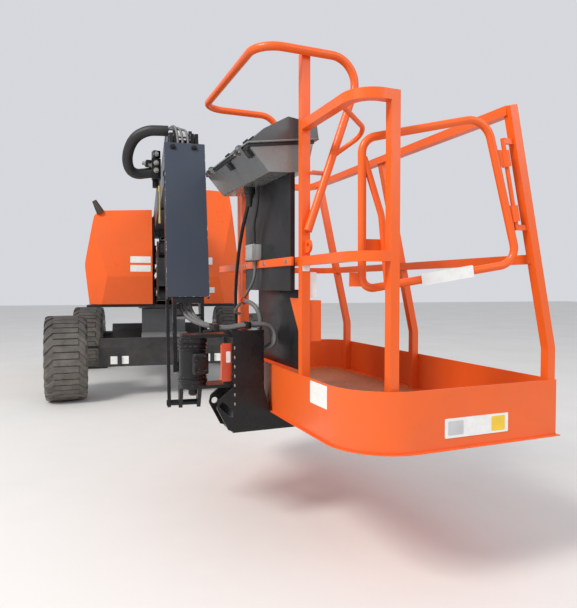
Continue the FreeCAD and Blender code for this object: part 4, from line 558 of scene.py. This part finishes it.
mesh = bmesh.new()
for low, high, reach in BANDS:
    band = [(low, DRUM_RADIUS), (low, reach - BAND_ROUND), (low + BAND_ROUND, reach),
            (high - BAND_ROUND, reach), (high, reach - BAND_ROUND), (high, DRUM_RADIUS)]
    turned(mesh, band, steps=64, axis="Z")
turned(mesh, CASTLE_NUT, steps=24, axis="Z")
bmesh.ops.translate(mesh, verts=mesh.verts, vec=ROTATOR)
finished("rotator_bands", mesh, black_paint, "rotator_housing")
mesh = bmesh.new()
block(mesh, PORT_BLOCK, Matrix(), round_off=0.004)
for x, z in PORT_SCREWS:
    hex_head(mesh, (x, -PORT_BLOCK[1] / 2, z), (0, -1, 0), radius=0.008, tall=0.007)
port_place = Matrix.Translation(ROTATOR + PORT_MIDDLE)
bmesh.ops.transform(mesh, verts=mesh.verts, matrix=port_place @ Matrix.Rotation(PORT_TURN, 4, "Z"))
finished("rotator_block", mesh, black_paint, "rotator_housing")

# Platform frame
# Square and round steel tube and folded plate, glossy orange, scuffed on the edges and dusty low
# down. The toe board and posts carry blank stickers; the column has weld spots and a red plate.
TURN = math.radians(8.1)
RAIL_TO_AXIS = 356
GATE_TO_AXIS = 874
AXIS_X, AXIS_Y = -70.954, -2685.996
TRAY_FOOT = 550
COLUMN_FRONT = 165 - RAIL_TO_AXIS
orange_paint = surface("orange_paint", (0.82, 0.115, 0.010), 0.34, grime=(0.50, 0.09, 0.02), amount=0.3,
                       scale=3.0, bump=0.08, worn=(0.30, 0.12, 0.07), dust=0.12, gloss=0.15, shine=0.35)
coat(orange_paint, "hood_left", "hood_right", "platform_base", "guardrail", "guard_hoop", "gate",
     "manual_box")


def on_platform(v, u, z):
    """A platform place in millimetres: v outwards from the rear rail, u from the gate end, z up."""
    flat = Matrix.Rotation(TURN, 3, "Z") @ Vector((RAIL_TO_AXIS + v, u - GATE_TO_AXIS, 0))
    return Vector((flat.x + AXIS_X, flat.y + AXIS_Y, TRAY_FOOT + z)) / 1000


def platform_way(v, u, z=0):
    """A direction given in the platform's own frame."""
    return Matrix.Rotation(TURN, 3, "Z") @ Vector((v, u, z))


def platform_seat(v, u, z):
    """A platform place as a matrix that turns a piece with the platform."""
    return Matrix.Translation(on_platform(v, u, z)) @ Matrix.Rotation(TURN, 4, "Z")


GATE_WAY = platform_way(0, -1)
OUT_WAY = platform_way(1, 0)
BACK_WAY = platform_way(-1, 0)
sign_yellow = surface("sign_yellow", (0.85, 0.55, 0.03), 0.4, grime=(0.4, 0.3, 0.1), amount=0.3, scale=30.0,
                      bump=0.03)
sign_grey = surface("sign_grey", (0.55, 0.56, 0.57), 0.4)
PATCH_FILM = 0.0005
FRAME_SIGNS = (("toe_plate", (488, -0.4, 76), OUT_WAY, 0.286, 0.070, sign_white, FILM),
               ("toe_plate_patch", (584, -1.8, 76), OUT_WAY, 0.062, 0.054, sign_yellow, PATCH_FILM),
               ("toe_plate_frame", (392, -1.8, 76), OUT_WAY, 0.066, 0.050, sign_grey, PATCH_FILM),
               ("toe_sticker", (-0.4, 310, 168), GATE_WAY, 0.148, 0.086, sign_white, FILM),
               ("post_sticker", (22, 475.6, 660), OUT_WAY, 0.032, 0.040, sign_white, FILM),
               ("post_tag", (57, 484, 584), OUT_WAY, 0.030, 0.105, sign_white, 0.002))
for name, spot, across, width, height, finish, thick in FRAME_SIGNS:
    label = sign(name, on_platform(*spot), across, UPWARDS, width, height, finish, "platform", thick)
WELD_COUNT = 7
WELD_STEP = 42
WELD_RADIUS = 0.0045
WELD_STRETCH = 1.8
FIRST_WELD = 50
weld_metal = surface("weld_metal", (0.30, 0.29, 0.28), 0.5, grime=(0.1, 0.09, 0.08), amount=0.5, scale=40.0,
                     bump=0.6, metallic=0.6)
mesh = bmesh.new()
for i in range(WELD_COUNT):
    bead = bmesh.ops.create_uvsphere(mesh, u_segments=12, v_segments=8, radius=WELD_RADIUS)["verts"]
    bmesh.ops.scale(mesh, verts=bead, vec=(1, 1, WELD_STRETCH))
    weld_spot = on_platform(COLUMN_FRONT + 9, GATE_TO_AXIS - 75.5, FIRST_WELD + i * WELD_STEP)
    bmesh.ops.translate(mesh, verts=bead, vec=weld_spot)
finished("column_welds", mesh, weld_metal, "platform")
TAG_SLAT = (0.044, 0.005, 0.172)
TAG_FOOT = (0.020, 0.012, 0.120)
red_paint = surface("red_paint", (0.55, 0.06, 0.02), 0.35, grime=(0.2, 0.05, 0.03), amount=0.4, scale=8.0,
                    bump=0.1, worn=(0.3, 0.2, 0.15))
mesh = bmesh.new()
block(mesh, TAG_SLAT, Matrix(), round_off=0.0015)
foot = bmesh.ops.create_cube(mesh, size=1)["verts"]
bmesh.ops.scale(mesh, verts=foot, vec=TAG_FOOT)
bmesh.ops.translate(mesh, verts=foot, vec=(0.024, 0.006, 0))
bmesh.ops.transform(mesh, verts=mesh.verts, matrix=platform_seat(COLUMN_FRONT - 24, GATE_TO_AXIS - 60, 238))
finished("column_tag", mesh, red_paint, "platform")
tag_sticker = sign("column_tag_sticker", on_platform(COLUMN_FRONT - 18, GATE_TO_AXIS - 62.7, 262), OUT_WAY,
                   UPWARDS, 0.020, 0.050, sign_white, "platform", 0.0008)

# Platform floor
# Pressed tread plate, orange worn brown where people stand. A thin sheet lies in the tray and
# carries rows of raised lozenges, turned in turn to either side.
FLOOR_TOP = 38.2
LOZENGE_STEP = 44
LOZENGE_ROWS = 39
LOZENGE_LINES = 16
LOZENGE_START = (106, 88)
LOZENGE_FOOT = 0.0125
LOZENGE_TOP = 0.0095
LOZENGE_HEIGHT = 0.002
LOZENGE_SQUEEZE = 0.36
FLOOR_SHEET = (0.722, 1.680)
worn_floor = surface("worn_floor", (0.50, 0.13, 0.035), 0.5, grime=(0.20, 0.12, 0.08), amount=0.75,
                     scale=5.0, bump=0.2, worn=(0.5, 0.42, 0.36))
mesh = bmesh.new()
for row in range(LOZENGE_ROWS):
    for line in range(LOZENGE_LINES):
        lozenge = bmesh.ops.create_cone(mesh, cap_ends=True, segments=4, radius1=LOZENGE_FOOT,
                                        radius2=LOZENGE_TOP, depth=LOZENGE_HEIGHT)["verts"]
        bmesh.ops.scale(mesh, verts=lozenge, vec=(1, LOZENGE_SQUEEZE, 1))
        turn = TURN + math.radians(45 if (row + line) % 2 else -45)
        spot = on_platform(LOZENGE_START[0] + line * LOZENGE_STEP, LOZENGE_START[1] + row * LOZENGE_STEP,
                           FLOOR_TOP + 1)
        bmesh.ops.transform(mesh, verts=lozenge, matrix=Matrix.Translation(spot) @ Matrix.Rotation(turn, 4,
                                                                                                   "Z"))
finished("floor_lozenges", mesh, worn_floor, "platform", crease=20)
sheet_middle = on_platform(436, 914.5, FLOOR_TOP - 0.15)
floor_sheet = sign("floor_sheet", sheet_middle, OUT_WAY, platform_way(0, 1), *FLOOR_SHEET, worn_floor,
                   "platform", 0.0006, 0.10)

# Gate strip
# A blank white reflective strip lies along the gate's bottom tube, stuck to its outer side.
# The gate stands ajar on a hinge that leans with its post.
AJAR = math.radians(-12)
STRIP_SIZE = (0.205, 0.044)
HINGE_FOOT = Vector((RAIL_TO_AXIS + 788, 22 - GATE_TO_AXIS, TRAY_FOOT + 339))
HINGE_LEAN = Vector((-206, 0, 907)).normalized()


def on_gate(v, u, z):
    """A place on the gate, given as if it were shut, in millimetres of the platform."""
    shut = Vector((RAIL_TO_AXIS + v, u - GATE_TO_AXIS, TRAY_FOOT + z))
    swung = HINGE_FOOT + Matrix.Rotation(AJAR, 3, HINGE_LEAN) @ (shut - HINGE_FOOT)
    return on_platform(swung.x - RAIL_TO_AXIS, swung.y + GATE_TO_AXIS, swung.z - TRAY_FOOT)


strip_start = on_gate(300, 6.2, 600)
strip_end = on_gate(510, 6.2, 636)
strip_way = (strip_end - strip_start).normalized()
gate_out = (on_gate(300, -10, 600) - strip_start).normalized()
gate_strip = sign("gate_strip", (strip_start + strip_end) / 2, strip_way, gate_out.cross(strip_way),
                  *STRIP_SIZE, sign_white, "gate", 0.0015)

# Hood stickers and handles
# Blank white stripes and small signs are stuck on the fronts of the moulded hoods. A black paddle
# latch with a plated paddle sits in each hood's side.
HOOD_SIGNS = (("stripe_high", "hood_right", -0.326, 1.418, 0.215, 0.072),
              ("stripe_low", "hood_right", -0.326, 1.322, 0.215, 0.072),
              ("hood_sign_high", "hood_left", 0.418, 1.410, 0.072, 0.080),
              ("hood_sign_low", "hood_left", 0.446, 1.085, 0.062, 0.062))
for name, hood, x, z, width, height in HOOD_SIGNS:
    stuck(name, hood, (x, 0.8, z), BACKWARDS, width, height, sign_white)
LATCH_Y, LATCH_Z = 1.78, 1.16
LATCH_SIZE = (0.120, 0.080)
LATCH_THICK = 0.006
PADDLE_SIZE = (0.084, 0.040)
PADDLE_THICK = 0.011
black_plastic = surface("black_plastic", (0.010, 0.010, 0.011), 0.36, grime=(0.06, 0.055, 0.05), amount=0.3,
                        scale=6.0)
for side, x, way in (("right", -1.2, 1), ("left", 1.1, -1)):
    start = (x, LATCH_Y, LATCH_Z)
    hood = f"hood_{side}"
    latch = stuck(f"hood_latch_{side}", hood, start, (way, 0, 0), *LATCH_SIZE, black_plastic, LATCH_THICK)
    paddle = stuck(f"hood_paddle_{side}", hood, start, (way, 0, 0), *PADDLE_SIZE, zinc, PADDLE_THICK)

# Console
# A glossy grey moulded housing with a darker lid on two black hinge leaves, a black band in the seam
# between them as painted shade of the recess, a lighter grey rim bead on the lid as a painted highlight,
# and a near black back panel below.
console_grey = surface("console_grey", (0.21, 0.225, 0.225), 0.22, grime=(0.12, 0.12, 0.11), amount=0.3,
                       scale=5.0, bump=0.04, gloss=0.6)
lid_grey = surface("lid_grey", (0.062, 0.068, 0.072), 0.30, grime=(0.10, 0.10, 0.095), amount=0.3,
                   scale=5.0, bump=0.05, gloss=0.3)
coat(console_grey, "console_box")
coat(lid_grey, "console_lid")
coat(black_plastic, "console_panel")
SEAM_RISE, SEAM_RUN = 40, 290
SEAM_BACK, SEAM_LOW = -200, 1150
LEAF_ROWS = (588, 850)
BOX_LEAF = ((0.044, 0.006, 0.050, -0.029, 0.003), (0.030, 0.012, 0.034, -0.033, 0.010))
LID_LEAF = ((0.044, 0.006, 0.040, 0.030, 0.003), (0.034, 0.014, 0.016, 0.016, 0.006))
BOX_SLOPE = (platform_way(-0.651, 0, 0.759), platform_way(-0.759, 0, -0.651))
LID_SLOPE = (platform_way(0.7226, 0, 0.6912), platform_way(-0.6912, 0, 0.7226))


def leaf(name, parts, spot, slope, body):
    """A hinge leaf of small blocks, given as (width, depth, height, rise, lift) along up and out."""
    up, out = slope
    mesh = bmesh.new()
    for wide, deep, tall, rise, lift in parts:
        block(mesh, (wide, deep, tall), Matrix.Translation((0, -lift, rise)), round_off=0.0015)
    back = -out
    turn = Matrix((back.cross(up), back, up)).transposed().to_4x4()
    bmesh.ops.transform(mesh, verts=mesh.verts, matrix=Matrix.Translation(spot) @ turn)
    return finished(name, mesh, black_plastic, body)


for i, u in enumerate(LEAF_ROWS):
    box_leaf = leaf(f"box_leaf_{i}", BOX_LEAF, on_platform(SEAM_BACK, u, SEAM_LOW - 1), BOX_SLOPE,
                    "platform")
    lid_leaf = leaf(f"lid_leaf_{i}", LID_LEAF, on_platform(SEAM_BACK - 4, u, SEAM_LOW), LID_SLOPE,
                    "console_lid")
SEAM_SHADE_EDGES = (-202.5, 93, 547, 1233)
RIM_EDGES = (-206.3, 111.5, 539.5, 1240.5)


def seam_band(name, edges, lift, thick, material, body):
    """A band round the console along the plane where the lid meets the box."""
    low_v, high_v, low_u, high_u = edges
    mesh = bmesh.new()
    size = ((high_v - low_v) / 1000, (high_u - low_u) / 1000, thick / 1000)
    middle = (low_v + high_v) / 2
    height = SEAM_LOW + (middle - SEAM_BACK) * SEAM_RISE / SEAM_RUN + lift
    tilt = Matrix.Rotation(-math.atan2(SEAM_RISE, SEAM_RUN), 4, "Y")
    block(mesh, size, platform_seat(middle, (low_u + high_u) / 2, height) @ tilt, round_off=0.0025,
          segments=3)
    return finished(name, mesh, material, body)


# A black band in the seam under the lid: painted shade of the recess there.
seam_shade = seam_band("console_seam_shade", SEAM_SHADE_EDGES, -7, 13, black_plastic, "platform")
# The lid's rim bead is a lighter grey than the lid: a painted highlight along its edge.
rim_highlight_grey = surface("rim_highlight_grey", (0.20, 0.21, 0.21), 0.3, grime=(0.12, 0.12, 0.11), amount=0.3, scale=5.0,
                   bump=0.04, gloss=0.4)
seam_band("lid_rim_highlight", RIM_EDGES, 5, 7, rim_highlight_grey, "console_lid")

# Back panel's lower half
# A near black sheet inside the posts, down to the toe board, with a flanged edge, as painted shade for
# the dark space below the console; an orange bar is bolted across the panel outside.
PANEL_SHADE_SHEET = (0.003, 0.590, 0.345)
PANEL_FLANGE = (0.020, 0.003, 0.345)
PANEL_BAR = (0.014, 0.640, 0.036)
PANEL_BOLTS = (560, 832, 1104)
BAR_HEIGHT = 682
FLANGE_ROWS = (-0.2935, 0.2935)
PANEL_BOLT_RADIUS = 0.007
panel_place = platform_seat(43, 818, 392)
# The near black sheet is painted shade where the space below the console is dark.
mesh = bmesh.new()
block(mesh, PANEL_SHADE_SHEET, panel_place, round_off=0.0008)
for y in FLANGE_ROWS:
    block(mesh, PANEL_FLANGE, panel_place @ Matrix.Translation((0.008, y, 0)), round_off=0.0008)
finished("panel_low_shade", mesh, black_plastic, "platform")
mesh = bmesh.new()
block(mesh, PANEL_BAR, platform_seat(-23.2, 832, BAR_HEIGHT), round_off=0.003, segments=3)
finished("panel_bar", mesh, orange_paint, "platform")
bar_spots = [(on_platform(-30.2, u, BAR_HEIGHT), BACK_WAY) for u in PANEL_BOLTS]
bolts("panel_bolts", bar_spots, PANEL_BOLT_RADIUS, zinc, "platform")

# Junction box
# A small grey cast box on the back panel, in two halves with a seam between them.
# The lid is held by four small screws at its corners.
BOX_LAYERS = (((0.036, 0.092, 0.074), 0), ((0.004, 0.096, 0.078), -0.018), ((0.012, 0.092, 0.074), -0.026))
cast_grey = surface("cast_grey", (0.36, 0.38, 0.38), 0.5, grime=(0.15, 0.14, 0.13), amount=0.4, scale=12.0,
                    bump=0.3)
mesh = bmesh.new()
for size, x in BOX_LAYERS:
    block(mesh, size, Matrix.Translation((x, 0, 0)), round_off=0.0019)
for y in (-0.038, 0.038):
    for z in (-0.029, 0.029):
        hex_head(mesh, (-0.032, y, z), (-1, 0, 0), radius=0.004, tall=0.003)
bmesh.ops.transform(mesh, verts=mesh.verts, matrix=platform_seat(-35, 950, 740))
finished("junction_box", mesh, cast_grey, "platform")

# Hoses
# Hydraulic hoses and electric cables in grey and black rubber. Each is one smooth curve, straight out
# of its fitting and sagging between its clips.
hose_grey = surface("hose_grey", (0.13, 0.13, 0.135), 0.5, grime=(0.22, 0.21, 0.19), amount=0.5, scale=14.0,
                    bump=0.2)
hose_black = surface("hose_black", (0.010, 0.010, 0.011), 0.5, grime=(0.06, 0.055, 0.05), amount=0.3,
                     scale=14.0, bump=0.5)


def hose(name, points, diameter, material, body):
    """A hose along control points."""
    curve = bpy.data.curves.new(name, "CURVE")
    curve.dimensions = "3D"
    curve.resolution_u = 16
    curve.bevel_depth = diameter / 2
    curve.bevel_resolution = 4
    curve.use_fill_caps = True
    line = curve.splines.new("NURBS")
    line.points.add(len(points) - 1)
    for spot, point in zip(line.points, points):
        spot.co = (*point, 1)
    line.order_u = 3
    line.use_endpoint_u = True
    curve.materials.append(material)
    made = bpy.data.objects.new(name, curve)
    scene.collection.objects.link(made)
    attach(made, body)


NOSE_LOOP = ((-0.150, -2.150, 1.952), (-0.190, -2.150, 1.952), (-0.262, -2.140, 1.950),
             (-0.330, -2.105, 1.915), (-0.366, -2.060, 1.835), (-0.358, -2.030, 1.765),
             (-0.318, -2.010, 1.742), (-0.262, -2.010, 1.752), (-0.192, -2.020, 1.760))
hose("nose_bundle", NOSE_LOOP, diameter=0.056, material=hose_black, body="nose_crank")
for i, (x, high, length) in enumerate(((-0.118, 1.972, 0.24), (-0.094, 1.964, 0.24),
                                       (-0.066, 1.958, 0.26))):
    route = [(-0.152, -2.150 - 0.010 * i, 1.958), (-0.135, -2.165, high), (x, -2.185, high),
             (x + 0.012, -2.205, 1.925), (x + 0.016, -2.216, 1.860), (x + 0.016, -2.236, 1.790)]
    hose(f"nose_hose_{i}", route, 0.013, hose_grey, "jib")
for i, (x, lift) in enumerate(((-0.112, 0), (-0.090, 0.004), (-0.068, -0.002))):
    route = [(x, -2.392, 1.130), (x, -2.398, 1.040), (x + 0.028, -2.440, 0.975 + lift),
             (0.010 + 0.4 * (x + 0.09), -2.545 - 0.012 * i, 0.938 + lift),
             (0.045, -2.640 - 0.014 * i, 0.942 + lift)]
    hose(f"head_hose_{i}", route, diameter=0.020, material=hose_grey, body="rotator_housing")
OVER_COLUMN = ((-245, 884, 392), (-200, 880, 386), (-130, 872, 400), (-50, 868, 404))
DOWN_COLUMN = ((4, 866, 396), (24, 864, 352), (16, 862, 306), (-20, 860, 290), (-44, 860, 290))
for i, (aside, lift) in enumerate(((0, 0), (-19, 4), (-38, -1))):
    route = [on_platform(v, u + aside, z + lift) for v, u, z in OVER_COLUMN]
    route += [on_platform(v, u + aside, z) for v, u, z in DOWN_COLUMN]
    hose(f"column_hose_{i}", route, diameter=0.019, material=hose_grey, body="platform")
CABLES = (("control_cable", 0.018, 0.78, hose_black,
           ((-62, 945, 1046), (-62, 945, 1000), (-66, 985, 930), (-58, 1075, 860), (-46, 1180, 740),
            (-34, 1262, 600), (-28, 1290, 470), (-25, 1290, 380))),
          ("console_cable", 0.011, 0.29, hose_black,
           ((-40, 880, 1046), (-40, 880, 990), (-46, 896, 925), (-44, 935, 868), (-36, 950, 820),
            (-36, 950, 772))),
          ("panel_cable", 0.014, 0.51, hose_grey,
           ((-36, 940, 708), (-36, 940, 660), (-42, 948, 600), (-60, 1040, 520), (-72, 1130, 468),
            (-60, 1220, 440), (-8, 1282, 432))),
          ("supply_hose", 0.022, 0.25, hose_grey,
           ((-62, 1006, 506), (-56, 975, 504), (-40, 925, 484), (-26, 902, 440), (-24, 896, 396),
            (-40, 890, 360), (-48, 886, 330))))
for name, diameter, length, material, spots in CABLES:
    hose(name, [on_platform(*spot) for spot in spots], diameter, material, "platform")
CABLE_BOOT = ((0, 0.001), (0, 0.026), (-0.034, 0.026), (-0.040, 0.020), (-0.050, 0.020), (-0.055, 0.016),
              (-0.095, 0.011), (-0.095, 0.001))
mesh = bmesh.new()
turned(mesh, CABLE_BOOT, steps=32, axis="Z")
bmesh.ops.translate(mesh, verts=mesh.verts, vec=on_platform(-62, 945, 1052))
finished("cable_boot", mesh, hose_black, "platform")
fitting_spot = (on_platform(-66, 1028, 508), platform_way(0.2, -1, 0))
bolts("supply_fitting", [fitting_spot], 0.013, red_paint, "platform", tall=0.020)


# Clamps and fittings
# A black hose clamp stands on the rotator, another on the column, and a cluster of valves with
# plated ends and a yellow plated rod sits on the boom nose.
def blocks(name, parts, material, body, round_off=0.002):
    """Small bevelled blocks at (centre, size, turn) joined in one piece."""
    mesh = bmesh.new()
    for centre, size, turn in parts:
        block(mesh, size, Matrix.Translation(Vector(centre)) @ Matrix.Rotation(turn, 4, "Z"), round_off)
    return finished(name, mesh, material, body)


clamp_spot = on_platform(-258, 868, 393)
foot_spot = clamp_spot - Vector((0.02, 0.0, 0.018))
rotator_clamp = [(clamp_spot, (0.026, 0.078, 0.034), TURN), (foot_spot, (0.060, 0.030, 0.006), TURN)]
blocks("rotator_clamp", rotator_clamp, black_paint, "rotator_housing")
column_clamp = [(on_platform(-110, 855, 401), (0.024, 0.076, 0.032), TURN)]
blocks("column_clamp", column_clamp, black_paint, "platform")
VALVES = (((-0.212, -2.030, 1.770), (0.050, 0.060, 0.110), 0),
          ((-0.212, -2.032, 1.850), (0.038, 0.044, 0.040), 0.3),
          ((-0.250, -2.030, 1.800), (0.036, 0.036, 0.036), 0.2),
          ((-0.215, -2.000, 1.700), (0.034, 0.040, 0.050), 0))
VALVE_ENDS = (((-0.237, -2.045, 1.790), (-1, -0.2, 0)), ((-0.237, -2.020, 1.745), (-1, 0.1, -0.2)),
              ((-0.268, -2.030, 1.800), (-1, 0, 0.2)), ((-0.212, -2.060, 1.800), (0, -1, 0)),
              ((-0.212, -2.060, 1.760), (0, -1, 0)), ((-0.212, -2.054, 1.850), (0, -1, 0)))
blocks("nose_valves", VALVES, black_paint, "nose_crank", round_off=0.003)
bolts("nose_fittings", VALVE_ENDS, 0.010, zinc, "nose_crank", tall=0.018)
ROD_OUTLINE = ((1.470, 0.001), (1.470, 0.006), (1.500, 0.006), (1.505, 0.0045), (1.640, 0.0045),
               (1.645, 0.007), (1.672, 0.007), (1.672, 0.001))
yellow_plate = surface("yellow_plate", (0.62, 0.50, 0.14), 0.35, grime=(0.3, 0.25, 0.1), amount=0.3,
                       scale=30.0, bump=0.1, metallic=0.5)
mesh = bmesh.new()
turned(mesh, ROD_OUTLINE, steps=20, axis="Z")
bmesh.ops.translate(mesh, verts=mesh.verts, vec=(-0.196, -2.085, 0))
finished("yellow_rod", mesh, yellow_plate, "nose_crank")
